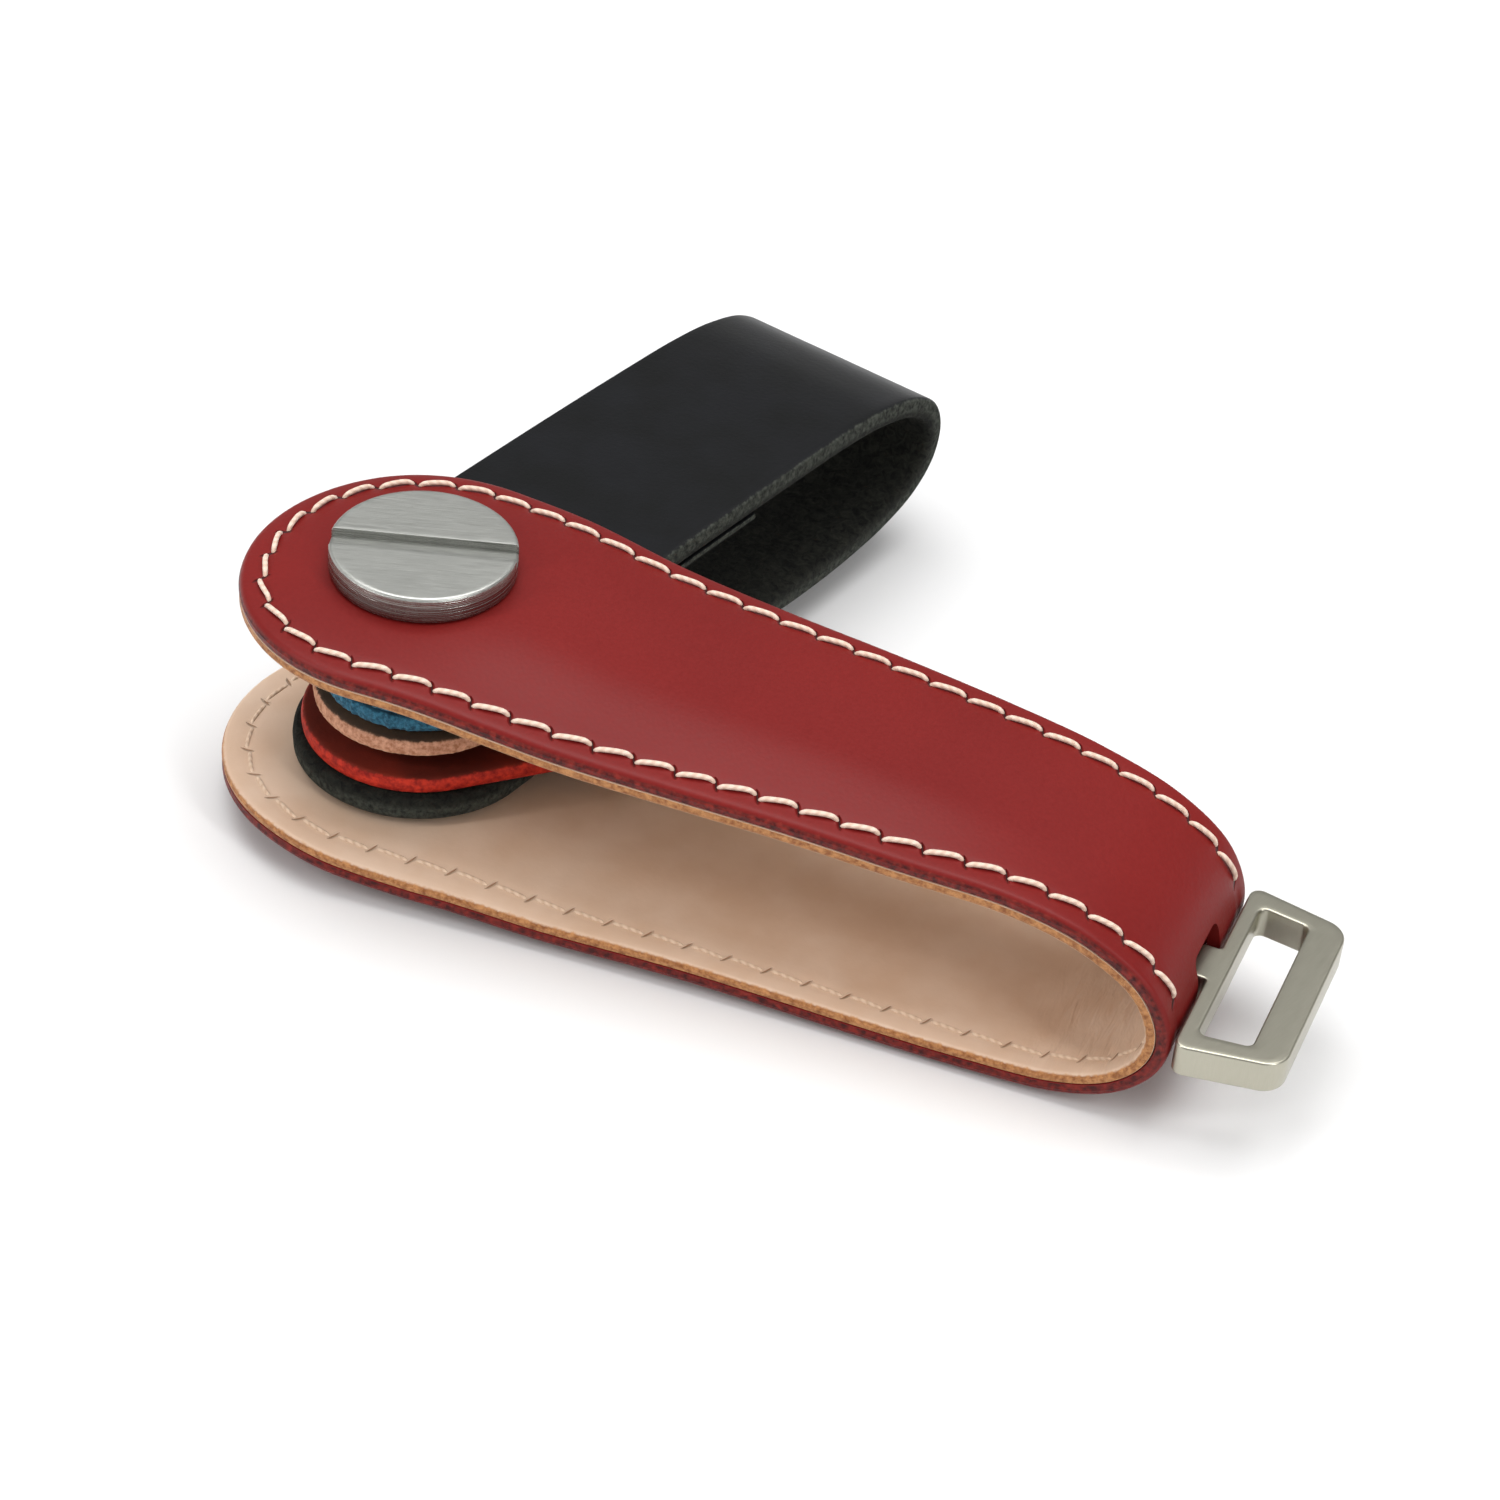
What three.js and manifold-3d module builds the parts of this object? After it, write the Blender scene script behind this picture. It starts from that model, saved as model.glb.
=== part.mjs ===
// Leather key organiser: a folded, stitched leather cover on a slotted binding screw, with a belt loop,
// a leather tab, loose spacers on the post, and a nickel ring held in the fold.
// Millimetres. +Z runs up the screw's axis, and the origin is the middle of the lower screw head's outer
// face, on which the organiser stands. +X points from the screw to the fold, +Y to the belt loop's side.
import * as THREE from 'three';
import { mergeVertices } from 'three/addons/utils/BufferGeometryUtils.js';
import Module from 'manifold-3d';

const wasm = await Module();
wasm.setup();

// ---- driving dimensions ----
const CLEARANCE = 0.1;            // between pieces laid face to face
const HOLE_RADIUS = 3.3;          // punched holes that the post passes through

const COVER = {
  endRadius: 15.6,                // round ends, about the screw
  upperEndShift: 0.2,             // the round ends' centres lie this far along each leaf from the screw
  lowerEndShift: -1.3,
  taperSlope: 0.11,               // how fast the sides close in just past the round end
  foldHalfWidth: 10.5,
  leatherThickness: 1.15,
  liningGap: 0.1,                 // cement line between leather and lining
  liningThickness: 0.95,
  upperDroop: 0.9,                // how far the leaves' edges curl down
  lowerDroop: 1.5,
  droopWidth: 9,
  stepsAlong: 44,
  stepsAcross: 8,
};
// Side view of the leather's outer face, from the upper leaf's end round the fold to the lower one's.
const COVER_PROFILE = [
  [-15.4, 24.55], [-9, 24.8], [0, 24.8], [9, 24.8], [19, 23.6], [29, 23], [39, 22.5], [50, 21.3], [58, 19.8],
  [65, 17.5], [69.6, 14.5], [71.9, 11.3], [72.1, 8.1], [70.9, 5.3], [68.2, 2.8], [63.5, 1.1], [56, 0.58],
  [47, 0.6], [38, 0.9], [28, 1.3], [19, 1.9], [9, 3.1], [0, 3.1], [-9, 3.1], [-16.9, 2.9],
];

const HEAD = { radius: 8, thickness: 2.5, chamfer: 0.35, slotWidth: 2, slotDepth: 1, slotAngle: 20 };
const POST = { headThickness: 3, radius: 3, boreRadius: 2.3, boreFloor: 4.1, top: 24.4 };
const SCREW = { headBase: 24.9, shankRadius: 2, shankTip: 9 };

// Loose rings on the post, from the bottom up.
const SPACERS = [
  { name: 'bottom_washer', base: 5.4, thickness: 0.6, radius: 8.5, colour: 0xb5b7b8, metal: 1, rough: 0.4 },
  { name: 'small_spacer', base: 10.2, thickness: 1.4, radius: 7, colour: 0x8c6a4d, metal: 0, rough: 0.8 },
  { name: 'natural_spacer', base: 11.7, thickness: 1.7, radius: 9.1, colour: 0xb98468, metal: 0, rough: 0.8 },
  { name: 'blue_suede_spacer', base: 13.5, thickness: 1.6, radius: 8.2, colour: 0x2f6885, metal: 0, rough: 1 },
  { name: 'thick_spacer', base: 15.2, thickness: 2.2, radius: 8.2, colour: 0x2f6885, metal: 0, rough: 1 },
  { name: 'top_spacer', base: 20.7, thickness: 1.8, radius: 9, colour: 0x8c6a4d, metal: 0, rough: 0.8 },
];

const TAB = { base: 8.4, thickness: 1.7, endRadius: 10, noseRadius: 5.5, noseDistance: 17, angle: 29 };

const LOOP = { halfWidth: 10.7, thickness: 2.2, angle: 76.5, stepsAlong: 44, stepsAcross: 4 };
// Side view of the strap's outer face, by distance out from the screw and height, upper end first.
const LOOP_PROFILE = [
  [-10.7, 20.6], [0, 20.6], [11, 20.6], [21, 20.1], [31, 19.2], [41, 18.55], [50, 17.95], [56, 17.1],
  [60.8, 15.6], [64.2, 13.6], [65.3, 11.3], [64.4, 8.5], [61.6, 6.2], [57, 4.7], [51, 3.95], [45, 3.75],
  [38, 4], [30, 4.6], [23, 5.4], [17, 6.05], [11, 6.1], [0, 6.1], [-10.7, 6.1],
];
const REINFORCEMENT = { thickness: 0.7, reach: 34 };   // a second layer under the strap's upper end

const RING = {
  middle: 9,                      // height of the ring's middle plane
  thickness: 3,
  baseX: 72.5, outerX: 81.4, baseHalfWidth: 11.2, outerHalfWidth: 9.5, baseCorner: 1, outerCorner: 2.2,
  windowBaseX: 73.9, windowOuterX: 78.3, windowBaseHalfWidth: 8.8, windowOuterHalfWidth: 8.2,
  windowCorner: 0.8,
  edgeBevel: 0.3,
  neckHalfWidth: 2.5, neckOverlap: 0.6, eyeRadius: 1.4, boreRadius: 0.85,
};
const PIN = { x: 69.9, radius: 0.7, halfLength: 4.6 };
const SLOT = { startX: 68.4, depth: 8, halfWidth: 3.75, halfHeight: 2.3, corner: 1.2 };   // in the fold
const POCKET = { depth: 2.95, halfWidth: 6.4, halfLength: 6.5 };   // the lining's bulge over the pin

const STITCH = {
  inset: 2.2,                     // from the cover's edge
  threadRadius: 0.22,
  lift: 0.34,                     // how far the thread's middle lies off the leather
  foldGap: 4,                     // the outside thread stops this far from the middle of the fold
  sampleStep: 2,
  arcSamples: 16,
};

// ---- solids ----
const radians = THREE.MathUtils.degToRad;

function toManifold(geometry) {
  const bare = geometry.clone();
  bare.deleteAttribute('normal');
  bare.deleteAttribute('uv');
  const merged = mergeVertices(bare, 1e-4);
  const corners = [];
  for (let i = 0; i < merged.index.count; i += 3) {
    const [a, b, c] = [0, 1, 2].map((k) => merged.index.getX(i + k));
    if (a !== b && b !== c && c !== a) corners.push(a, b, c);
  }
  return new wasm.Manifold(new wasm.Mesh({
    numProp: 3,
    vertProperties: new Float32Array(merged.attributes.position.array),
    triVerts: new Uint32Array(corners),
  }));
}

function toGeometry(manifold) {
  const mesh = manifold.getMesh();
  const geometry = new THREE.BufferGeometry();
  geometry.setAttribute('position', new THREE.BufferAttribute(mesh.vertProperties, 3));
  geometry.setIndex(new THREE.BufferAttribute(mesh.triVerts, 1));
  return geometry;
}

function cut(geometry, ...tools) {
  return toGeometry(tools.reduce((solid, tool) => solid.subtract(toManifold(tool)), toManifold(geometry)));
}

function join(...geometries) {
  return toGeometry(geometries.map(toManifold).reduce((whole, solid) => whole.add(solid)));
}

function postHole() {
  const wellPastTheStack = 3 * POST.top;
  return new THREE.CylinderGeometry(HOLE_RADIUS, HOLE_RADIUS, wellPastTheStack, 32).rotateX(Math.PI / 2);
}

function slab(shape, base, thickness, bevel = 0) {
  return new THREE.ExtrudeGeometry(shape, {
    depth: thickness - 2 * bevel,
    curveSegments: 14,
    bevelEnabled: bevel > 0,
    bevelThickness: bevel,
    bevelSize: bevel,
    bevelOffset: -bevel,
    bevelSegments: 2,
  }).translate(0, 0, base + bevel);
}

// A polygon whose corners are rounded by quadratic curves; corners are [x, y, radius].
function roundedShape(corners, ShapeType = THREE.Shape) {
  const shape = new ShapeType();
  corners.forEach(([x, y, radius], i) => {
    const corner = new THREE.Vector2(x, y);
    const before = new THREE.Vector2(...corners.at(i - 1).slice(0, 2));
    const after = new THREE.Vector2(...corners[(i + 1) % corners.length].slice(0, 2));
    const enter = before.sub(corner).setLength(radius).add(corner);
    const leave = after.sub(corner).setLength(radius).add(corner);
    if (i === 0) shape.moveTo(enter.x, enter.y);
    else shape.lineTo(enter.x, enter.y);
    shape.quadraticCurveTo(x, y, leave.x, leave.y);
  });
  shape.closePath();
  return shape;
}

// A closed sheet from two grids of points: stations along it, each a row of points across it.
// Where a row shrinks to one point, as at a round end, its triangles vanish when the corners merge.
function closedSheet(outerFace, innerFace) {
  const rows = outerFace.length;
  const columns = outerFace[0].length;
  const points = [...outerFace.flat(), ...innerFace.flat()];
  const outer = (i, j) => i * columns + j;
  const inner = (i, j) => rows * columns + i * columns + j;
  const index = [];
  const quad = (a, b, c, d) => index.push(a, c, b, a, d, c);
  for (let i = 0; i < rows - 1; i++) {
    for (let j = 0; j < columns - 1; j++) {
      quad(outer(i, j), outer(i + 1, j), outer(i + 1, j + 1), outer(i, j + 1));
      quad(inner(i, j), inner(i, j + 1), inner(i + 1, j + 1), inner(i + 1, j));
    }
    quad(inner(i, 0), inner(i + 1, 0), outer(i + 1, 0), outer(i, 0));
    quad(outer(i, columns - 1), outer(i + 1, columns - 1), inner(i + 1, columns - 1), inner(i, columns - 1));
  }
  for (let j = 0; j < columns - 1; j++) {
    quad(outer(0, j), outer(0, j + 1), inner(0, j + 1), inner(0, j));
    quad(inner(rows - 1, j), inner(rows - 1, j + 1), outer(rows - 1, j + 1), outer(rows - 1, j));
  }
  const geometry = new THREE.BufferGeometry();
  geometry.setAttribute('position', new THREE.Float32BufferAttribute(points.flatMap((p) => p.toArray()), 3));
  geometry.setIndex(index);
  return geometry;
}

// ---- side-view profiles, walked by length ----
function walkProfile(points) {
  const through = points.map(([x, z]) => new THREE.Vector3(x, 0, z));
  const curve = new THREE.CatmullRomCurve3(through, false, 'centripetal');
  curve.arcLengthDivisions = 800;
  const length = curve.getLength();
  const at = (s) => curve.getPointAt(THREE.MathUtils.clamp(s / length, 0, 1));
  const inward = (s) => {
    const tangent = curve.getTangentAt(THREE.MathUtils.clamp(s / length, 0, 1));
    return new THREE.Vector3(tangent.z, 0, -tangent.x);
  };
  return { length, at, inward };
}

// Stations along a strip with round ends: close together round the ends, then even steps between.
function stations(length, endRadius, steps) {
  const list = [];
  const arcSteps = 6;
  for (let k = 0; k < arcSteps; k++) list.push(endRadius * (1 - Math.cos((Math.PI / 2) * (k / arcSteps))));
  for (let k = 0; k <= steps; k++) list.push(endRadius + ((length - 2 * endRadius) * k) / steps);
  for (let k = arcSteps - 1; k >= 0; k--) list.push(length - list[k]);
  return list;
}

// ---- cover ----
const coverWalk = walkProfile(COVER_PROFILE);
const upperPivot = -COVER_PROFILE[0][0];                       // the screw's place along the profile
const lowerPivot = coverWalk.length + COVER_PROFILE.at(-1)[0];
const foldMiddle = (upperPivot + lowerPivot) / 2;
const leafLength = foldMiddle - upperPivot;

// Half the cover's width at a distance s along the profile: a circle about the screw, then a taper
// whose slope eases off to the fold. An inset outline, as for the stitching, runs inside it.
function coverHalfWidth(s, inset = 0) {
  const onUpper = s < foldMiddle;
  const fromScrew = onUpper ? s - upperPivot : lowerPivot - s;
  const centre = onUpper ? COVER.upperEndShift : COVER.lowerEndShift;
  const radius = COVER.endRadius - inset;
  const tangent = centre + COVER.taperSlope * radius;
  if (fromScrew < tangent) return Math.sqrt(Math.max(0, radius ** 2 - (fromScrew - centre) ** 2));
  const start = radius * Math.sqrt(1 - COVER.taperSlope ** 2);
  const run = leafLength - tangent;
  const ease = (COVER.foldHalfWidth - inset - start + COVER.taperSlope * run) / run ** 2;
  const along = fromScrew - tangent;
  return start - COVER.taperSlope * along + ease * along ** 2;
}

// How far the leaf leans inwards at a point near its edge: both leaves' edges curl down, which is inwards
// on the upper leaf and outwards on the lower one. The curl fades out towards the fold.
function coverDroop(s, y) {
  const onUpper = s < foldMiddle;
  const fromScrew = onUpper ? s - upperPivot : lowerPivot - s;
  const centre = onUpper ? COVER.upperEndShift : COVER.lowerEndShift;
  const inside = fromScrew < centre
    ? COVER.endRadius - Math.hypot(fromScrew - centre, y)
    : coverHalfWidth(s) - Math.abs(y);
  const { smoothstep } = THREE.MathUtils;
  const droop = onUpper
    ? COVER.upperDroop * (1 - smoothstep(fromScrew, 0.2 * leafLength, leafLength))
    : -COVER.lowerDroop * smoothstep(fromScrew, -8, 8) * (1 - smoothstep(fromScrew, 6, 34));
  return droop * Math.max(0, 1 - inside / COVER.droopWidth) ** 2;
}

function pocketBulge(s, y) {
  const along = Math.min(1, Math.abs(s - foldMiddle) / POCKET.halfLength);
  const across = Math.min(1, Math.abs(y) / POCKET.halfWidth);
  return POCKET.depth * (1 - along ** 3) ** 2 * (1 - across ** 6) ** 2;
}

function coverPoint(s, y, depth) {
  return coverWalk.at(s).addScaledVector(coverWalk.inward(s), depth + coverDroop(s, y)).setY(y);
}

function coverSheet(outerDepth, innerDepth) {
  const across = COVER.stepsAcross;
  const face = (depthAt) => stations(coverWalk.length, COVER.endRadius, COVER.stepsAlong).map((s) => {
    const half = coverHalfWidth(s);
    return Array.from({ length: across + 1 }, (_, j) => {
      const y = half * (1 - (2 * j) / across);
      return coverPoint(s, y, depthAt(s, y));
    });
  });
  return closedSheet(face(outerDepth), face(innerDepth));
}

function outerCover() {
  const neckSlot = slab(roundedShape([
    [-SLOT.halfHeight, -SLOT.halfWidth, SLOT.corner], [SLOT.halfHeight, -SLOT.halfWidth, SLOT.corner],
    [SLOT.halfHeight, SLOT.halfWidth, SLOT.corner], [-SLOT.halfHeight, SLOT.halfWidth, SLOT.corner],
  ]), 0, SLOT.depth).rotateY(Math.PI / 2).translate(SLOT.startX, 0, RING.middle);
  return cut(coverSheet(() => 0, () => COVER.leatherThickness), postHole(), neckSlot);
}

function coverLining() {
  const start = COVER.leatherThickness + COVER.liningGap;
  const outer = (s, y) => start + pocketBulge(s, y);
  const inner = (s, y) => start + COVER.liningThickness + pocketBulge(s, y);
  return cut(coverSheet(outer, inner), postHole());
}

// A thread laid along the stitching line, just off the cover's face.
function threadAlong(line) {
  const extrudePath = new THREE.CatmullRomCurve3(line);
  const steps = Math.round(extrudePath.getLength() / STITCH.sampleStep);
  return new THREE.ExtrudeGeometry(
    new THREE.Shape().absarc(0, 0, STITCH.threadRadius, 0, 2 * Math.PI),
    { steps, curveSegments: 3, extrudePath, bevelEnabled: false },
  );
}

// The two straight runs of stitching on one leaf, at a depth below the cover's outer face.
function stitchLine(from, to, depth) {
  const count = Math.round(Math.abs(to - from) / STITCH.sampleStep);
  return Array.from({ length: count + 1 }, (_, k) => from + ((to - from) * k) / count)
    .map((s) => [s, coverHalfWidth(s, STITCH.inset)])
    .map(([s, half]) => ({ far: coverPoint(s, half, depth), near: coverPoint(s, -half, depth) }));
}

// Round one end of the stitching: half a circle about the end's centre, from far side to near side.
function endArc(pivot, direction, shift, depth) {
  const radius = COVER.endRadius - STITCH.inset;
  const step = Math.PI / STITCH.arcSamples;
  const turns = Array.from({ length: STITCH.arcSamples - 1 }, (_, k) => step * (k + 1));
  return turns.map((turn) => {
    const s = pivot + direction * (shift - radius * Math.sin(turn));
    return coverPoint(s, radius * Math.cos(turn), depth);
  });
}

function upperThreadLine(to, depth) {
  const sides = stitchLine(upperPivot + COVER.upperEndShift, to, depth);
  return [
    ...sides.map((p) => p.far).reverse(),
    ...endArc(upperPivot, 1, COVER.upperEndShift, depth),
    ...sides.map((p) => p.near),
  ];
}

function lowerThreadLine(to, depth) {
  const sides = stitchLine(lowerPivot - COVER.lowerEndShift, to, depth);
  return [
    ...sides.map((p) => p.near).reverse(),
    ...endArc(lowerPivot, -1, COVER.lowerEndShift, depth).reverse(),
    ...sides.map((p) => p.far),
  ];
}

function bobbinThread() {
  const depth = COVER.leatherThickness + COVER.liningGap + COVER.liningThickness + STITCH.lift;
  const upper = upperThreadLine(foldMiddle, depth);
  const lower = lowerThreadLine(foldMiddle + STITCH.sampleStep, depth);
  return threadAlong([...upper, ...lower.slice(0, -1)]);
}

// ---- screw and post ----
// A turned piece: its [radius, height] profile goes from the axis round the outside and back to the axis.
function lathed(profile, sides = 40) {
  const outline = profile.map(([r, z]) => new THREE.Vector2(r, z));
  return new THREE.LatheGeometry(outline, sides).rotateX(Math.PI / 2);
}

function bindingScrew() {
  const { radius, thickness, chamfer } = HEAD;
  const base = SCREW.headBase;
  const profile = [
    [0, SCREW.shankTip], [SCREW.shankRadius - chamfer, SCREW.shankTip],
    [SCREW.shankRadius, SCREW.shankTip + chamfer], [SCREW.shankRadius, base], [radius - chamfer, base],
    [radius, base + chamfer], [radius, base + thickness - chamfer],
    [radius - chamfer, base + thickness], [0, base + thickness],
  ];
  const coinSlot = new THREE.BoxGeometry(3 * radius, HEAD.slotWidth, 2 * HEAD.slotDepth)
    .rotateZ(radians(HEAD.slotAngle))
    .translate(0, 0, base + thickness);
  return cut(lathed(profile), coinSlot);
}

function bindingPost() {
  const { radius, chamfer } = HEAD;
  const thickness = POST.headThickness;
  const profile = [
    [0, 0], [radius - chamfer, 0], [radius, chamfer], [radius, thickness - chamfer],
    [radius - chamfer, thickness], [POST.radius, thickness], [POST.radius, POST.top],
    [POST.boreRadius, POST.top], [POST.boreRadius, POST.boreFloor], [0, POST.boreFloor],
  ];
  return lathed(profile);
}

// ---- spacers and tab ----
function spacer({ radius, base, thickness }) {
  const shape = new THREE.Shape().absarc(0, 0, radius, 0, 2 * Math.PI);
  shape.holes.push(new THREE.Path().absarc(0, 0, HOLE_RADIUS, 0, 2 * Math.PI, true));
  return slab(shape, base, thickness);
}

// Two circles of different size and the straight lines that touch them both.
function leatherTab() {
  const lean = Math.asin((TAB.endRadius - TAB.noseRadius) / TAB.noseDistance);
  const touch = Math.PI / 2 - lean;
  const shape = new THREE.Shape();
  shape.absarc(0, 0, TAB.endRadius, touch, 2 * Math.PI - touch);
  shape.absarc(TAB.noseDistance, 0, TAB.noseRadius, -touch, touch);
  shape.holes.push(new THREE.Path().absarc(0, 0, HOLE_RADIUS, 0, 2 * Math.PI, true));
  return slab(shape, TAB.base, TAB.thickness).rotateZ(radians(TAB.angle));
}

// ---- belt loop ----
const loopWalk = walkProfile(LOOP_PROFILE);

function loopHalfWidth(s) {
  const fromEnd = Math.min(s, loopWalk.length - s);
  if (fromEnd >= LOOP.halfWidth) return LOOP.halfWidth;
  return Math.sqrt(Math.max(0, LOOP.halfWidth ** 2 - (LOOP.halfWidth - fromEnd) ** 2));
}

function strap(stationList, outerDepth, innerDepth) {
  const across = LOOP.stepsAcross;
  const face = (depth) => stationList.map((s) => Array.from({ length: across + 1 }, (_, j) => {
    const y = loopHalfWidth(s) * (1 - (2 * j) / across);
    return loopWalk.at(s).addScaledVector(loopWalk.inward(s), depth).setY(y);
  }));
  return cut(closedSheet(face(outerDepth), face(innerDepth)), postHole()).rotateZ(radians(LOOP.angle));
}

function beltLoop() {
  return strap(stations(loopWalk.length, LOOP.halfWidth, LOOP.stepsAlong), 0, LOOP.thickness);
}

function loopReinforcement() {
  const reach = LOOP.halfWidth + REINFORCEMENT.reach;
  const list = stations(loopWalk.length, LOOP.halfWidth, LOOP.stepsAlong).filter((s) => s < reach);
  const start = LOOP.thickness + CLEARANCE;
  return strap(list, start, start + REINFORCEMENT.thickness);
}

// ---- ring ----
function trapezoid(baseX, outerX, baseHalf, outerHalf, baseCorner, outerCorner, ShapeType) {
  return roundedShape([
    [baseX, -baseHalf, baseCorner], [outerX, -outerHalf, outerCorner],
    [outerX, outerHalf, outerCorner], [baseX, baseHalf, baseCorner],
  ], ShapeType);
}

function ring() {
  const base = RING.middle - RING.thickness / 2;
  const outline = trapezoid(RING.baseX, RING.outerX, RING.baseHalfWidth, RING.outerHalfWidth,
    RING.baseCorner, RING.outerCorner);
  outline.holes.push(trapezoid(RING.windowBaseX, RING.windowOuterX, RING.windowBaseHalfWidth,
    RING.windowOuterHalfWidth, RING.windowCorner, RING.windowCorner, THREE.Path));
  const frame = slab(outline, base, RING.thickness, RING.edgeBevel);
  const neckLength = RING.baseX + RING.neckOverlap - PIN.x;
  const neck = new THREE.BoxGeometry(neckLength, 2 * RING.neckHalfWidth, 2 * RING.eyeRadius)
    .translate(PIN.x + neckLength / 2, 0, RING.middle);
  const eye = new THREE.CylinderGeometry(RING.eyeRadius, RING.eyeRadius, 2 * RING.neckHalfWidth, 24)
    .translate(PIN.x, 0, RING.middle);
  const bore = new THREE.CylinderGeometry(RING.boreRadius, RING.boreRadius, 3 * RING.neckHalfWidth, 16)
    .translate(PIN.x, 0, RING.middle);
  return cut(join(frame, neck, eye), bore);
}

function anchorPin() {
  return new THREE.CylinderGeometry(PIN.radius, PIN.radius, 2 * PIN.halfLength, 16)
    .translate(PIN.x, 0, RING.middle);
}

// ---- assembly ----
const organiser = new THREE.Group();

function add(name, geometry, colour, roughness, metalness = 0) {
  const material = new THREE.MeshStandardMaterial({ color: colour, roughness, metalness });
  const mesh = new THREE.Mesh(geometry, material);
  mesh.name = name;
  organiser.add(mesh);
}

add('outer_cover', outerCover(), 0x8e2626, 0.45);
add('cover_lining', coverLining(), 0xc4a78c, 0.6);
const upperOutside = upperThreadLine(foldMiddle - STITCH.foldGap, -STITCH.lift);
const lowerOutside = lowerThreadLine(foldMiddle + STITCH.foldGap, -STITCH.lift);
add('needle_thread_upper', threadAlong(upperOutside), 0xe3c9b5, 0.8);
add('needle_thread_lower', threadAlong(lowerOutside), 0xe3c9b5, 0.8);
add('bobbin_thread', bobbinThread(), 0xd8bda2, 0.8);
add('binding_screw', bindingScrew(), 0xa9aba6, 0.35, 1);
add('binding_post', bindingPost(), 0xa9aba6, 0.35, 1);
for (const ringSpec of SPACERS) {
  add(ringSpec.name, spacer(ringSpec), ringSpec.colour, ringSpec.rough, ringSpec.metal);
}
add('leather_tab', leatherTab(), 0xa01e14, 0.6);
add('belt_loop', beltLoop(), 0x242628, 0.5);
add('loop_reinforcement', loopReinforcement(), 0x1c1d1e, 0.8);
add('ring', ring(), 0xa9a898, 0.3, 1);
add('anchor_pin', anchorPin(), 0xa9a898, 0.4, 1);

export default organiser;
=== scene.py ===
"""Looks of a leather key organiser: a folded, stitched cover on a slotted binding screw, with a belt loop,
a tab, spacers on the post and a ring held in the fold. Shapes are worked out in millimetres and turned into
metres when a mesh is made. +X points from the screw to the fold, +Y to the belt loop's side, +Z up."""

import math

import bmesh
import bpy
import numpy as np
from mathutils import Matrix, Vector


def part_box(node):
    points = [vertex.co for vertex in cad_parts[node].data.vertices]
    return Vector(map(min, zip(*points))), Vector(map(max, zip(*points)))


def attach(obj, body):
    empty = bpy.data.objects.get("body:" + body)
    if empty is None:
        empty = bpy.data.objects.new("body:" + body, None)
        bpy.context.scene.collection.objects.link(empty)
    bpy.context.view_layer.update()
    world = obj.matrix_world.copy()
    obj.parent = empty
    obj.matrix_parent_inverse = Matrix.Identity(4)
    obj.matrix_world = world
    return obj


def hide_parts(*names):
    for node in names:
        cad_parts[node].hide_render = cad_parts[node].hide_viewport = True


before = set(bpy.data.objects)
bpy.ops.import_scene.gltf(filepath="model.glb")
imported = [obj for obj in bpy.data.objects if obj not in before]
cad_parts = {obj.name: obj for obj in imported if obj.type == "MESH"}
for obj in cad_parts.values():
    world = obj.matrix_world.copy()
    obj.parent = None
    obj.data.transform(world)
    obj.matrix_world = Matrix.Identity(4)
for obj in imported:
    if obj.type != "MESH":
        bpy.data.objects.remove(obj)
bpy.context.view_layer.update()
MM = 0.001


def node_box(name):
    """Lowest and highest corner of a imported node, in millimetres."""
    return [np.array(corner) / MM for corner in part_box(name)]


# ---------------------------------------------------------------- curves and outlines

class Walk:
    """A smooth curve through (x, z) points, walked by its length.

    Centripetal Catmull-Rom: each span is a cubic whose end slopes come from the neighbouring points, spaced
    by the square roots of their distances. The inward side is the tangent turned a quarter turn clockwise."""

    def __init__(self, points, per_span=60):
        through = np.array(points, float)
        padded = np.vstack([2 * through[0] - through[1], through, 2 * through[-1] - through[-2]])
        before, start, end, after = padded[:-3], padded[1:-2], padded[2:-1], padded[3:]
        gap_in, gap, gap_out = (
            np.sqrt(np.linalg.norm(b - a, axis=1, keepdims=True))
            for a, b in ((before, start), (start, end), (end, after))
        )
        slope_in = ((start - before) / gap_in - (end - before) / (gap_in + gap) + (end - start) / gap) * gap
        slope_out = ((end - start) / gap - (after - start) / (gap + gap_out) + (after - end) / gap_out) * gap
        t = np.linspace(0, 1, per_span, endpoint=False)[None, :, None]
        start, end, slope_in, slope_out = (v[:, None, :] for v in (start, end, slope_in, slope_out))
        spans = (
            start * (2 * t**3 - 3 * t**2 + 1) + slope_in * (t**3 - 2 * t**2 + t)
            + end * (3 * t**2 - 2 * t**3) + slope_out * (t**3 - t**2)
        )
        self.points = np.vstack([spans.reshape(-1, 2), through[-1:]])
        steps = np.linalg.norm(np.diff(self.points, axis=0), axis=1)
        self.lengths = np.concatenate([[0], np.cumsum(steps)])
        tangent = np.gradient(self.points, self.lengths, axis=0)
        self.tangents = tangent / np.linalg.norm(tangent, axis=1, keepdims=True)
        self.length = self.lengths[-1]

    def _read(self, table, s):
        return np.stack([np.interp(s, self.lengths, table[:, k]) for k in (0, 1)], -1)

    def place(self, s, y, depth):
        """Points (x, y, z) at length s, sideways y, and depth inwards from the curve."""
        point = self._read(self.points, s)
        tangent = self._read(self.tangents, s)
        x = point[..., 0] + depth * tangent[..., 1]
        z = point[..., 1] - depth * tangent[..., 0]
        return np.stack([x, y + 0 * x, z], -1)


def smoothstep(value, low, high):
    t = np.clip((value - low) / (high - low), 0, 1)
    return t * t * (3 - 2 * t)


def evenly(points, count):
    """The same polyline with count points, evenly spaced along its length."""
    steps = np.linalg.norm(np.diff(points, axis=0), axis=1)
    lengths = np.concatenate([[0], np.cumsum(steps)])
    wanted = np.linspace(0, lengths[-1], count)
    return np.stack([np.interp(wanted, lengths, points[:, k]) for k in range(points.shape[1])], -1)


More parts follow.
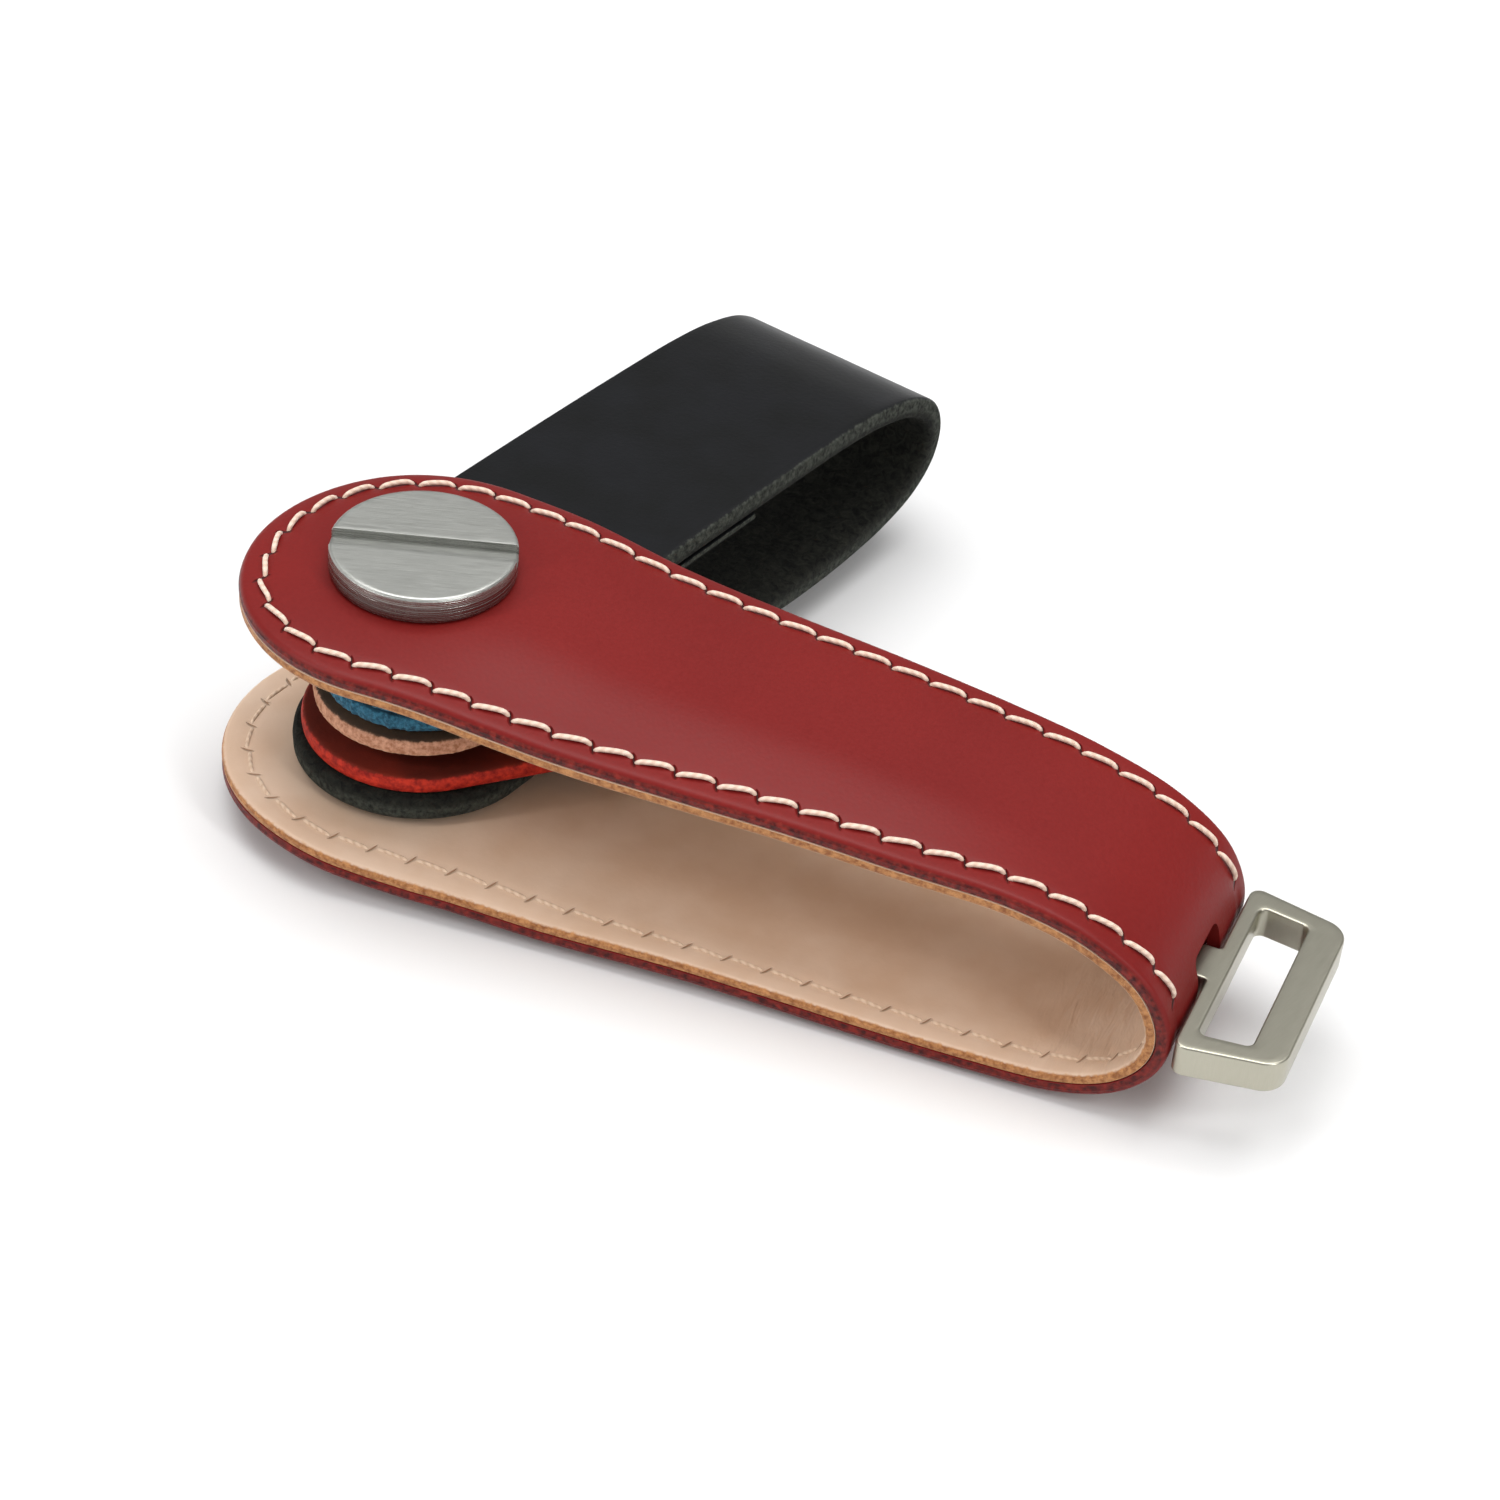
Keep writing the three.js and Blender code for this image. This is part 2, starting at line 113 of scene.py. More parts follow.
def circle(centre, radius, start, end, count=90):
    """Arc points from start to end degrees: 0 is the side towards the strip's tip, 180 the side away from it."""
    turn = np.radians(np.linspace(start, end, count))
    return np.stack([centre - radius * np.cos(turn), radius * np.sin(turn)], -1)


def rounded_loop(corners, per_corner=14, per_side=16):
    """A closed loop round a polygon with corners (x, y, radius): an arc tangent to both sides at each
    corner, and even steps along each side. Loops with the same counts match point by point."""
    corners = np.array(corners, float)
    loop = []
    for k in range(len(corners)):
        here, radius = corners[k, :2], corners[k, 2]
        back = corners[k - 1, :2] - here
        ahead = corners[(k + 1) % len(corners), :2] - here
        back, ahead = back / np.linalg.norm(back), ahead / np.linalg.norm(ahead)
        half_angle = math.acos(np.clip(back @ ahead, -1, 1)) / 2
        reach = radius / math.tan(half_angle)
        middle = (back + ahead) / np.linalg.norm(back + ahead)
        centre = here + middle * radius / math.sin(half_angle)
        enter, leave = here + back * reach - centre, here + ahead * reach - centre
        sweep = math.atan2(enter[0] * leave[1] - enter[1] * leave[0], enter @ leave)
        turn = np.linspace(0, sweep, per_corner)[:, None]
        across = np.array([-enter[1], enter[0]])
        arc = centre + enter * np.cos(turn) + across * np.sin(turn)
        loop.append((arc, here + ahead * reach))
    points = []
    for k, (arc, leave) in enumerate(loop):
        following = loop[(k + 1) % len(loop)][0][0]
        side = leave + (following - leave) * np.linspace(0, 1, per_side + 2)[1:-1, None]
        points += [arc, side]
    return np.vstack(points)


# ---------------------------------------------------------------- meshes

DOUBLED, SLIVER = 1e-6, 1e-7      # metres: points this close are one, and edges this short go


def linked(name, mesh):
    """An object that shows the mesh, in the scene."""
    piece = bpy.data.objects.new(name, mesh)
    bpy.context.collection.objects.link(piece)
    return piece


def closed_mesh(name, points, faces, values=None, sharp=40, welded=True):
    """A closed mesh from points in millimetres, with its faces turned outwards. Where it is welded, doubled
    points are merged and folds over sharp degrees stay crisp."""
    mesh = bpy.data.meshes.new(name)
    mesh.from_pydata((points * MM).tolist(), [], faces if isinstance(faces, list) else faces.tolist())
    for key, value in (values or {}).items():
        mesh.attributes.new(key, "FLOAT", "POINT").data.foreach_set("value", value.astype(np.float32))
    work = bmesh.new()
    work.from_mesh(mesh)
    if welded:
        bmesh.ops.remove_doubles(work, verts=work.verts, dist=DOUBLED)
        bmesh.ops.dissolve_degenerate(work, edges=work.edges, dist=SLIVER)
    bmesh.ops.recalc_face_normals(work, faces=work.faces)
    work.to_mesh(mesh)
    work.free()
    mesh.shade_smooth()
    if welded:
        mesh.set_sharp_from_angle(angle=math.radians(sharp))
    return linked(name, mesh)


def grid_faces(rows, columns, close_rows=False, close_columns=False):
    """Quads of a grid whose points are stored row by row."""
    index = np.arange(rows * columns).reshape(rows, columns)
    if close_rows:
        index = np.vstack([index, index[:1]])
    if close_columns:
        index = np.hstack([index, index[:, :1]])
    corners = index[:-1, :-1], index[1:, :-1], index[1:, 1:], index[:-1, 1:]
    return np.stack([c.ravel() for c in corners], -1)


def fillet(radius, steps=5):
    """(distance from the edge, depth below the face) round a quarter circle, from the face to the wall."""
    turn = np.linspace(0, math.pi / 2, steps)
    return np.stack([radius * (1 - np.sin(turn)), radius * (1 - np.cos(turn))], -1)


def turned(name, profile, sides=96, values=None, sharp=40):
    """A turned piece: the (radius, height) profile swept round Z, from the axis back to the axis."""
    profile = np.array(profile, float)
    turn = np.linspace(0, 2 * math.pi, sides, endpoint=False)
    radius, height = profile[:, :1], profile[:, 1:]
    points = np.stack([radius * np.cos(turn), radius * np.sin(turn), height + 0 * turn], -1)
    return closed_mesh(name, points.reshape(-1, 3), grid_faces(len(profile), sides, close_columns=True),
                       values, sharp)


def pierced_plate(outer, inner, low, high, radius, axes=(0, 1, 2), bulge=0.0, rows=4, hole_radius=None):
    """A flat plate with a hole: its section runs over the upper face from the hole to the rim, round the
    rim, back under and up the hole, and is carried round both loops at once. Edges are quarter circles,
    and the rim's wall swells by bulge. Returns points, faces and how far each point is on the cut rim."""
    hole_radius = radius if hole_radius is None else hole_radius

    def outward(loop):
        tangent = np.roll(loop, -1, 0) - np.roll(loop, 1, 0)
        normal = np.stack([tangent[:, 1], -tangent[:, 0]], -1)
        normal /= np.linalg.norm(normal, axis=1, keepdims=True)
        area = np.sum(loop[:, 0] * np.roll(loop[:, 1], -1) - loop[:, 1] * np.roll(loop[:, 0], -1))
        return normal * np.sign(area)

    rim_normal, hole_normal = outward(outer), outward(inner)
    middle = (low + high) / 2
    section = []                                            # (loop points, height, share on the cut rim)
    for inset, drop in fillet(hole_radius)[::-1]:
        section.append((inner + hole_normal * inset, high - drop, 0.0))
    rim_start, hole_end = outer - rim_normal * radius, inner + hole_normal * hole_radius
    for share in np.linspace(0, 1, rows + 2)[1:-1]:
        section.append((hole_end + (rim_start - hole_end) * share, high, 0.0))
    for inset, drop in fillet(radius):
        section.append((outer - rim_normal * inset, high - drop, drop / radius))
    section.append((outer + rim_normal * bulge, middle, 1.0))
    for inset, drop in fillet(radius)[::-1]:
        section.append((outer - rim_normal * inset, low + drop, drop / radius))
    for share in np.linspace(1, 0, rows + 2)[1:-1]:
        section.append((hole_end + (rim_start - hole_end) * share, low, 0.0))
    for inset, drop in fillet(hole_radius):
        section.append((inner + hole_normal * inset, low + drop, 0.0))
    flat = np.stack([np.column_stack([loop, np.full(len(loop), height)]) for loop, height, _ in section])
    points = np.empty_like(flat)
    for source, target in enumerate(axes):
        points[..., target] = flat[..., source]
    rim = np.repeat([share for *_, share in section], len(outer))
    faces = grid_faces(len(section), len(outer), close_rows=True, close_columns=True)
    return points.reshape(-1, 3), faces, rim


def strip_mesh(name, side, middle, open_rim, place, faces_depth, radii, edge_rows, values):
    """A strip of leather with rounded edges, worked out in its own flat frame (s along, y across).

    Each column joins a point of the strip's outline (side) to a point of its middle line, hole or slot
    (middle). Rows cross the outer face to the edge, round it in two quarter circles with a slight swell
    between them, and cross the inner face back. place(s, y, depth) bends the flat points into space.
    open_rim marks the columns that end on a hole or slot, which also get a wall there."""
    outer_depth, inner_depth = faces_depth
    outer_radius, inner_radius = radii
    swell = 0.06
    section = [(share, None, "outer", 0.0, 0.0) for share in np.linspace(0, 1, 9)[:-1]]
    section += [(None, inset, "outer", 0.0, 0.0) for inset in edge_rows]
    section += [(None, inset, "outer", drop, drop / outer_radius) for inset, drop in fillet(outer_radius, 6)]
    section += [(None, -swell, "middle", 0.0, 1.0)]
    section += [(None, inset, "inner", -drop, drop / inner_radius)
                for inset, drop in fillet(inner_radius, 5)[::-1]]
    section += [(None, inset, "inner", 0.0, 0.0) for inset in edge_rows[::-1]]
    section += [(share, None, "inner", 0.0, 0.0) for share in np.linspace(1, 0, 7)[1:]]
    depth_of = {"outer": outer_depth, "inner": inner_depth, "middle": (outer_depth + inner_depth) / 2}

    both_points, both_values, all_faces = [], {key: [] for key in [*values, "edge", "flesh"]}, []
    for mirror in (1, -1):
        rim = side * [1, mirror]
        core = middle * [1, mirror]
        towards = core - rim
        step = towards / np.linalg.norm(towards, axis=1, keepdims=True)
        rows = []
        for share, inset, face, extra, edge in section:
            if share is None:
                flat = rim + step * inset
            else:
                flat = core + (rim + step * edge_rows[0] - core) * share
            s, y = flat[:, 0], flat[:, 1]
            depth = depth_of[face] + extra
            rows.append(place(s, y, depth, face))
            both_values["edge"].append(np.full(len(s), edge))
            both_values["flesh"].append(np.full(len(s), float(face == "inner")))
            for key, rule in values.items():
                both_values[key].append(rule(s, y))
        base = sum(len(p) for p in both_points)
        both_points.append(np.vstack(rows))
        columns = len(side)
        all_faces.append(grid_faces(len(section), columns) + base)
        index = base + np.arange(columns)
        last = index + (len(section) - 1) * columns
        wall = np.stack([index[:-1], index[1:], last[1:], last[:-1]], -1)
        all_faces.append(wall[open_rim[:-1] & open_rim[1:]])
    merged = {key: np.concatenate(parts) for key, parts in both_values.items()}
    return closed_mesh(name, np.vstack(both_points), np.vstack(all_faces), merged)


# ---------------------------------------------------------------- the cover's shape

END_RADIUS = 15.6                 # round ends about the screw
END_SHIFT = {"upper": 0.2, "lower": -1.3}
TAPER_SLOPE = 0.11
FOLD_HALF_WIDTH = 10.5
LEATHER, CEMENT, LINING = 1.15, 0.1, 0.95      # the two leathers and the cement line between them
UPPER_DROOP, LOWER_DROOP, DROOP_WIDTH = 0.9, 1.5, 9.0
NEAR_SAG = 0.95                   # the upper leaf hangs a little lower along its near edge
POST_HOLE = 3.3
STITCH_INSET = 2.2
STITCHES_PER_SIDE = 56            # from the upper round end's tip to the lower one's
COVER_PROFILE = [
    (-15.4, 24.55), (-9, 24.8), (0, 24.8), (9, 24.8), (19, 23.6), (29, 23), (39, 22.5), (50, 21.5),
    (58, 20.3), (65, 18.2), (69.8, 15.0), (71.9, 11.3), (72.1, 8.1), (70.9, 5.3), (68.2, 2.8), (63.5, 1.1),
    (56, 0.58), (47, 0.6), (38, 0.9), (28, 1.3), (19, 1.9), (9, 3.1), (0, 3.1), (-9, 3.1), (-16.9, 2.9),
]
cover_walk = Walk(COVER_PROFILE)
UPPER_PIVOT = -COVER_PROFILE[0][0]
LOWER_PIVOT = cover_walk.length + COVER_PROFILE[-1][0]
FOLD = (UPPER_PIVOT + LOWER_PIVOT) / 2
LEAF = FOLD - UPPER_PIVOT
RING_MIDDLE = sum(node_box("ring")[k][2] for k in (0, 1)) / 2
past_fold = (cover_walk.lengths > FOLD - 15) & (cover_walk.lengths < FOLD + 15)
RING_STATION = cover_walk.lengths[past_fold][
    np.argmin(np.abs(cover_walk.points[past_fold, 1] - RING_MIDDLE))
]


def from_screw(s):
    """Distance along the leaf from the screw, and the round end's centre, whichever leaf s is on."""
    upper = s < FOLD
    reach = np.where(upper, s - UPPER_PIVOT, LOWER_PIVOT - s)
    return reach, np.where(upper, END_SHIFT["upper"], END_SHIFT["lower"])


def half_width(s, inset=0.0):
    """A circle about the end's centre, then a taper whose slope eases off towards the fold."""
    reach, centre = from_screw(s)
    radius = END_RADIUS - inset
    tangent = centre + TAPER_SLOPE * radius
    round_end = np.sqrt(np.maximum(0, radius**2 - (reach - centre) ** 2))
    start = radius * math.sqrt(1 - TAPER_SLOPE**2)
    run = LEAF - tangent
    ease = (FOLD_HALF_WIDTH - inset - start + TAPER_SLOPE * run) / run**2
    along = reach - tangent
    return np.where(reach < tangent, round_end, start - TAPER_SLOPE * along + ease * along**2)


def inset_of(s, y):
    """How far inside the cover's outline a flat point lies."""
    reach, centre = from_screw(s)
    return np.where(reach < centre, END_RADIUS - np.hypot(reach - centre, y), half_width(s) - np.abs(y))


def droop(s, y):
    """Both leaves' edges curl down: inwards on the upper leaf, outwards on the lower one. The upper leaf
    also sags towards its near edge, between the post and the fold."""
    reach, _ = from_screw(s)
    upper = UPPER_DROOP * (1 - smoothstep(reach, 0.2 * LEAF, LEAF))
    lower = -LOWER_DROOP * smoothstep(reach, -8, 8) * (1 - smoothstep(reach, 6, 34))
    curl = np.where(s < FOLD, upper, lower) * np.clip(1 - inset_of(s, y) / DROOP_WIDTH, 0, None) ** 2
    along = smoothstep(reach, 0, 13) * (1 - smoothstep(reach, 46, 62)) * (s < FOLD)
    return curl + NEAR_SAG * along * smoothstep(-y, 3, 12)


def pocket_bulge(s, y):
    """The lining's bulge over the ring's anchor pin."""
    depth, half_across, half_along = 2.95, 6.4, 6.5
    along = np.clip(np.abs(s - FOLD) / half_along, 0, 1)
    across = np.clip(np.abs(y) / half_across, 0, 1)
    return depth * (1 - along**3) ** 2 * (1 - across**6) ** 2


# The stitching line's length from the upper tip, tabled by station on the straight runs.
stitch_radius = END_RADIUS - STITCH_INSET
run_start = UPPER_PIVOT + END_SHIFT["upper"] + TAPER_SLOPE * stitch_radius
run_end = LOWER_PIVOT - END_SHIFT["lower"] - TAPER_SLOPE * stitch_radius
arc_length = stitch_radius * (math.pi / 2 + math.asin(TAPER_SLOPE))
run_stations = np.linspace(run_start, run_end, 1600)
run_slopes = np.gradient(half_width(run_stations, STITCH_INSET), run_stations)
run_lengths = arc_length + np.concatenate([[0], np.cumsum(
    np.hypot(1, (run_slopes[1:] + run_slopes[:-1]) / 2) * np.diff(run_stations))])
SIDE_LENGTH = run_lengths[-1] + arc_length
PITCH = SIDE_LENGTH / STITCHES_PER_SIDE


def stitch_count(s, y):
    """Stitches from the upper tip, measured along the stitching line: by angle about the centre on a
    round end, and by station on the runs between."""
    reach, centre = from_screw(s)
    angle = np.arctan2(np.abs(y), -(reach - centre))
    on_arc = stitch_radius * angle
    on_run = np.interp(s, run_stations, run_lengths)
    length = np.where(s < run_start, on_arc, np.where(s > run_end, SIDE_LENGTH - on_arc, on_run))
    return length / PITCH


def stitch_place(count):
    """Flat (s, y) of a place on the stitching line, and the outward normal there; count runs from the
    upper tip along the far side (positive) or the near side (negative)."""
    side = np.sign(count) + (count == 0)
    length = np.abs(count) * PITCH
    angle = np.minimum(length, SIDE_LENGTH - length) / stitch_radius
    upper_arc, lower_arc = length < arc_length, length > SIDE_LENGTH - arc_length
    s_run = np.interp(length, run_lengths, run_stations)
    s = np.where(upper_arc, UPPER_PIVOT + END_SHIFT["upper"] - stitch_radius * np.cos(angle), s_run)
    s = np.where(lower_arc, LOWER_PIVOT - END_SHIFT["lower"] + stitch_radius * np.cos(angle), s)
    y = np.where(upper_arc | lower_arc, stitch_radius * np.sin(angle), half_width(s_run, STITCH_INSET))
    normal_s = np.where(upper_arc, -np.cos(angle), np.where(lower_arc, np.cos(angle), TAPER_SLOPE / 2))
    normal_y = np.where(upper_arc | lower_arc, np.sin(angle), 1.0)
    return s, y * side, normal_s, normal_y * side


SLIT_SLANT = 0.5                  # each awl slit leans this far along the line for each mm across it
NEAR_SHIFT = 0.45                 # the upper leaf's near side is stitched this much closer to its edge
SHIFT_FADE = FOLD - 34, FOLD - 12     # and comes back to the common line between these lengths
GROOVE_DEPTH, GROOVE_WIDTH = 0.09, 0.6
ALL_STITCHES = np.arange(-STITCHES_PER_SIDE, STITCHES_PER_SIDE, dtype=float)


def line_shift(s, y):
    """How far outwards of the common line the stitching runs."""
    return NEAR_SHIFT * smoothstep(-y, 3, 9) * (1 - smoothstep(s, *SHIFT_FADE))


def off_line(s, y):
    """Distance inwards from the stitching line."""
    return inset_of(s, y) - STITCH_INSET + line_shift(s, y)


def slit_phase(s, y):
    """Stitch count, sheared so that a slanted awl slit is a line of whole count."""
    return stitch_count(s, y) + np.sign(-y) * SLIT_SLANT * off_line(s, y) / PITCH


def groove(s, y):
    """The stitching pulls the leather in along its line."""
    return GROOVE_DEPTH * np.exp(-((off_line(s, y) / GROOVE_WIDTH) ** 2))


SLOT_RISE, SLOT_DROP, SLOT_HALF_WIDTH, SLOT_CORNER = 3.7, 2.3, 3.0, 0.9   # the ring's slot


def cover_columns(count=620, slotted=True):
    """Outline and middle line of one side of the cover, from tip to tip, point for point.

    The middle line runs half round the upper post hole, along the middle, half round the ring's slot,
    along again, and half round the lower hole."""
    near, slot_reach = 8.0, 6.0
    stations = np.linspace(0, 1, 2400)
    edge_s = cover_walk.length * (0.5 - 0.5 * np.cos(math.pi * stations))
    outline = np.stack([edge_s, half_width(edge_s)], -1)
    slot_start, slot_end = RING_STATION - SLOT_RISE, RING_STATION + SLOT_DROP
    turn = np.linspace(0, math.pi / 2, 12)
    corner = SLOT_CORNER * np.stack([1 - np.sin(turn), 1 - np.cos(turn)], -1)[::-1]
    rise = np.array([slot_start, SLOT_HALF_WIDTH]) + corner * [1, -1]
    fall = np.array([slot_end, SLOT_HALF_WIDTH]) - corner[::-1]
    slot_half = np.vstack([[slot_start, 0], rise, fall, [slot_end, 0]])
    if not slotted:
        slot_half = np.array([[slot_start, 0], [slot_end, 0]])
    parts = [
        ((0, UPPER_PIVOT + near), circle(UPPER_PIVOT, POST_HOLE, 0, 180), True, 0.22),
        ((UPPER_PIVOT + near, RING_STATION - slot_reach),
         np.array([[UPPER_PIVOT + POST_HOLE, 0], [slot_start, 0]]), False, 0.25),
        ((RING_STATION - slot_reach, RING_STATION + slot_reach), slot_half, slotted, 0.06),
        ((RING_STATION + slot_reach, LOWER_PIVOT - near),
         np.array([[slot_end, 0], [LOWER_PIVOT - POST_HOLE, 0]]), False, 0.25),
        ((LOWER_PIVOT - near, cover_walk.length), circle(LOWER_PIVOT, POST_HOLE, 0, 180), True, 0.22),
    ]
    sides, middles, rims = [], [], []
    for (start, end), middle, is_rim, share in parts:
        points = max(12, round(count * share))
        inside = outline[(edge_s > start) & (edge_s < end)]
        ends = [[start, float(half_width(np.array(start)))], [end, float(half_width(np.array(end)))]]
        sides.append(evenly(np.vstack([ends[0], inside, ends[1]]), points))
        middles.append(evenly(middle, points))
        rims.append(np.full(points, is_rim))
    return np.vstack(sides), np.vstack(middles), np.concatenate(rims)


EDGE_ROWS = [4.0, 3.5, 3.1, 2.8, 2.5, 2.2, 1.9, 1.6, 1.3, 1.0, 0.75]


def cover_leather():
    def place(s, y, depth, face):
        return cover_walk.place(s, y, depth + droop(s, y) + (groove(s, y) if face == "outer" else 0))

    columns = cover_columns()
    return strip_mesh("cover_leather", *columns, place, faces_depth=(0.0, LEATHER), radii=(0.5, 0.08),
                      edge_rows=EDGE_ROWS, values={"count": slit_phase, "off_line": off_line})


def cover_lining():
    start = LEATHER + CEMENT

    def place(s, y, depth, face):
        dent = -groove(s, y) if face == "inner" else 0
        return cover_walk.place(s, y, depth + droop(s, y) + pocket_bulge(s, y) + dent)

    columns = cover_columns(slotted=False)
    return strip_mesh("cover_lining_leather", *columns, place, faces_depth=(start, start + LINING),
                      radii=(0.08, 0.4), edge_rows=EDGE_ROWS, values={"count": slit_phase, "off_line": off_line})


# ---------------------------------------------------------------- stitches

def stitch_tubes(name, counts, radius, depth_of, start_shift, end_shift, lift, dive, bend, along=14, around=8):
    """Short lengths of thread, one from each hole to the next, worked out together.

    Along each, the middle runs from start_shift to end_shift outwards of the line, the height rises as
    sin(pi t)**bend times lift and falls by dive at both ends, and the section is a circle that narrows
    towards the holes. Arrays run over the stitches, then along each, then round it."""
    narrowing = 0.35
    t = np.linspace(0, 1, along)
    turn = np.linspace(0, 2 * math.pi, around, endpoint=False)
    shift = start_shift + (end_shift - start_shift) * smoothstep(t, 0, 1)
    s, y, normal_s, normal_y = stitch_place(counts[:, None] + t - SLIT_SLANT * shift / PITCH)
    across = shift + line_shift(s, y)
    s, y = s + normal_s * across, y + normal_y * across
    height = lift * np.sin(math.pi * t) ** bend - dive * (1 - np.sin(math.pi * t)) ** 4
    centre = cover_walk.place(s, y, depth_of(s, y, height))
    tangent = np.gradient(centre, axis=1)
    tangent /= np.linalg.norm(tangent, axis=2, keepdims=True)
    up = cover_walk.place(s, y, depth_of(s, y, height + 1)) - centre
    sideways = np.cross(tangent, up)
    sideways /= np.linalg.norm(sideways, axis=2, keepdims=True)
    up = np.cross(sideways, tangent)
    size = radius * (1 - narrowing * np.abs(2 * t - 1) ** 6)
    spokes = up[:, :, None] * np.cos(turn)[:, None] + sideways[:, :, None] * np.sin(turn)[:, None]
    rings = centre[:, :, None] + size[:, None, None] * spokes
    stitches, block = len(counts), along * around + 2       # each block ends with the middles of its two ends
    points = np.concatenate([rings.reshape(stitches, -1, 3), centre[:, [0, -1]]], axis=1)
    here = np.arange(around)
    following, last_ring = np.roll(here, -1), (along - 1) * around
    caps = np.vstack([
        np.column_stack([np.full(around, block - 2), following, here]),
        np.column_stack([np.full(around, block - 1), last_ring + here, last_ring + following]),
    ])
    base = block * np.arange(stitches)[:, None, None]
    faces = [*(grid_faces(along, around, close_columns=True) + base).reshape(-1, 4).tolist(),
             *(caps + base).reshape(-1, 3).tolist()]
    values = {
        "along": np.tile(np.concatenate([np.repeat(t * PITCH, around), [0, PITCH]]), stitches),
        "round": np.tile(np.concatenate([np.tile(np.abs(turn / math.pi - 1), along), [0, 0]]), stitches),
    }
    return closed_mesh(name, points.reshape(-1, 3), faces, values, welded=False)


def outside_stitches(name, lower):
    """The outside stitches of one leaf; those behind the ring's bar are left out."""
    ring_gap, sink = 2.6, 0.12
    middle, *_ = stitch_place(ALL_STITCHES + 0.5)
    keep = ((middle > FOLD) == lower) & (np.abs(middle - RING_STATION) > ring_gap)

    def depth_of(s, y, height):
        return droop(s, y) + groove(s, y) - height - sink

    return stitch_tubes(name, ALL_STITCHES[keep], 0.23, depth_of, start_shift=-0.28, end_shift=0.15,
                        lift=0.2, dive=0.45, bend=0.6)


def inside_stitches():
    """The inside stitches of both leaves, pressed further into the lining than the outside ones."""
    inner, sink = LEATHER + CEMENT + LINING, 0.08

    def depth_of(s, y, height):
        return inner + droop(s, y) + pocket_bulge(s, y) - groove(s, y) + height - sink

    return stitch_tubes("inside_stitches", ALL_STITCHES, 0.19, depth_of, start_shift=-0.15, end_shift=0.08,
                        lift=0.1, dive=0.4, bend=0.5)


# ---------------------------------------------------------------- screw and post

HEAD_RADIUS = node_box("binding_screw")[1][0]
SCREW_TOP = node_box("binding_screw")[1][2]
SCREW_TIP = node_box("binding_screw")[0][2]
HEAD_THICKNESS = 2.5
SLOT_WIDTH, SLOT_DEPTH, SLOT_ANGLE = 2.2, 0.8, math.radians(20)
SHANK_RADIUS = 2.0


def screw_head():
    """The slotted head and its shank. The top is a height over a disc, in columns across the slot (b) and
    rows along it (a): the slot's floor between its walls, less a quarter circle near the rim. The rim
    loop then carries on down the side, under the head, down the shank and to the axis."""
    edge, ease = HEAD_RADIUS, 0.32
    half_slot, lip = SLOT_WIDTH / 2, 0.025
    outer = edge * np.sin(np.linspace(math.asin((half_slot + lip) / edge), math.pi / 2, 34))
    lip_turn = np.linspace(0, math.pi / 2, 4)
    lip_b = half_slot + lip * (1 - np.sin(lip_turn))
    lip_drop = lip * (1 - np.cos(lip_turn))
    floor = np.column_stack([np.linspace(0, half_slot, 5), np.full(5, -SLOT_DEPTH)])
    rounding = np.column_stack([lip_b, -lip_drop])[::-1][1:-1]
    land = np.column_stack([outer, np.zeros(len(outer))])
    half = np.vstack([floor, [[half_slot, -lip]], rounding, land])
    section = np.vstack([half[::-1] * [-1, 1], half[1:]])
    b, drop = section[:, 0], section[:, 1]
    reach = np.sqrt(np.maximum(0, edge**2 - b**2))
    near_rim = edge * (1 - np.array([0, 0.0015, 0.005, 0.011, 0.02, 0.035, 0.06]))
    share = np.concatenate([-near_rim, np.linspace(-0.9, 0.9, 26) * edge, near_rim[::-1]]) / edge
    a = share[:, None] * reach[None, :]
    rim_gap = np.clip(edge - np.hypot(a, b[None, :]), 0, ease)
    z = SCREW_TOP + drop[None, :] - (ease - np.sqrt(np.maximum(0, ease**2 - (ease - rim_gap) ** 2)))
    top = np.stack([a, b[None, :] + 0 * a, z], -1)
    rows, columns = a.shape
    loop = np.vstack([top[-1], top[0][::-1]])
    angle = np.arctan2(loop[:, 1], loop[:, 0])
    base = SCREW_TOP - HEAD_THICKNESS
    side = [loop]
    below = [(edge, base + 0.35), (edge - 0.1, base + 0.1), (edge - 0.35, base), (5, base),
             (SHANK_RADIUS + 0.2, base), (SHANK_RADIUS, base - 0.2), (SHANK_RADIUS, SCREW_TIP + 0.35),
             (SHANK_RADIUS - 0.35, SCREW_TIP), (0, SCREW_TIP)]
    side += [np.column_stack([r * np.cos(angle), r * np.sin(angle), np.full(len(angle), height)])
             for r, height in below]
    points = np.vstack([top.reshape(-1, 3), np.vstack(side)])
    faces = np.vstack([grid_faces(rows, columns),
                       grid_faces(len(side), len(loop), close_columns=True) + rows * columns])
    cos, sin = math.cos(SLOT_ANGLE), math.sin(SLOT_ANGLE)
    spin = np.array([[cos, sin], [-sin, cos]])
    points[:, :2] = points[:, :2] @ spin
    return closed_mesh("screw_head", points, faces, sharp=30)


def screw_post():
    """The lower head and hollow post, turned as one piece."""
    low, high = node_box("binding_post")
    flange, post, bore, floor = 3.0, 3.0, 2.3, 4.1
    ease = fillet(0.35)
    rim_up = [(HEAD_RADIUS - inset, low[2] + drop) for inset, drop in ease]
    rim_down = [(HEAD_RADIUS - inset, flange - drop) for inset, drop in ease[::-1]]
    profile = [(0, low[2]), *rim_up, *rim_down, (post + 0.2, flange), (post, flange + 0.2), (post, high[2] - 0.2),
               (post - 0.2, high[2]), (bore + 0.15, high[2]), (bore, high[2] - 0.15), (bore, floor), (0, floor)]
    return turned("screw_post", profile)


# ---------------------------------------------------------------- spacers and tab

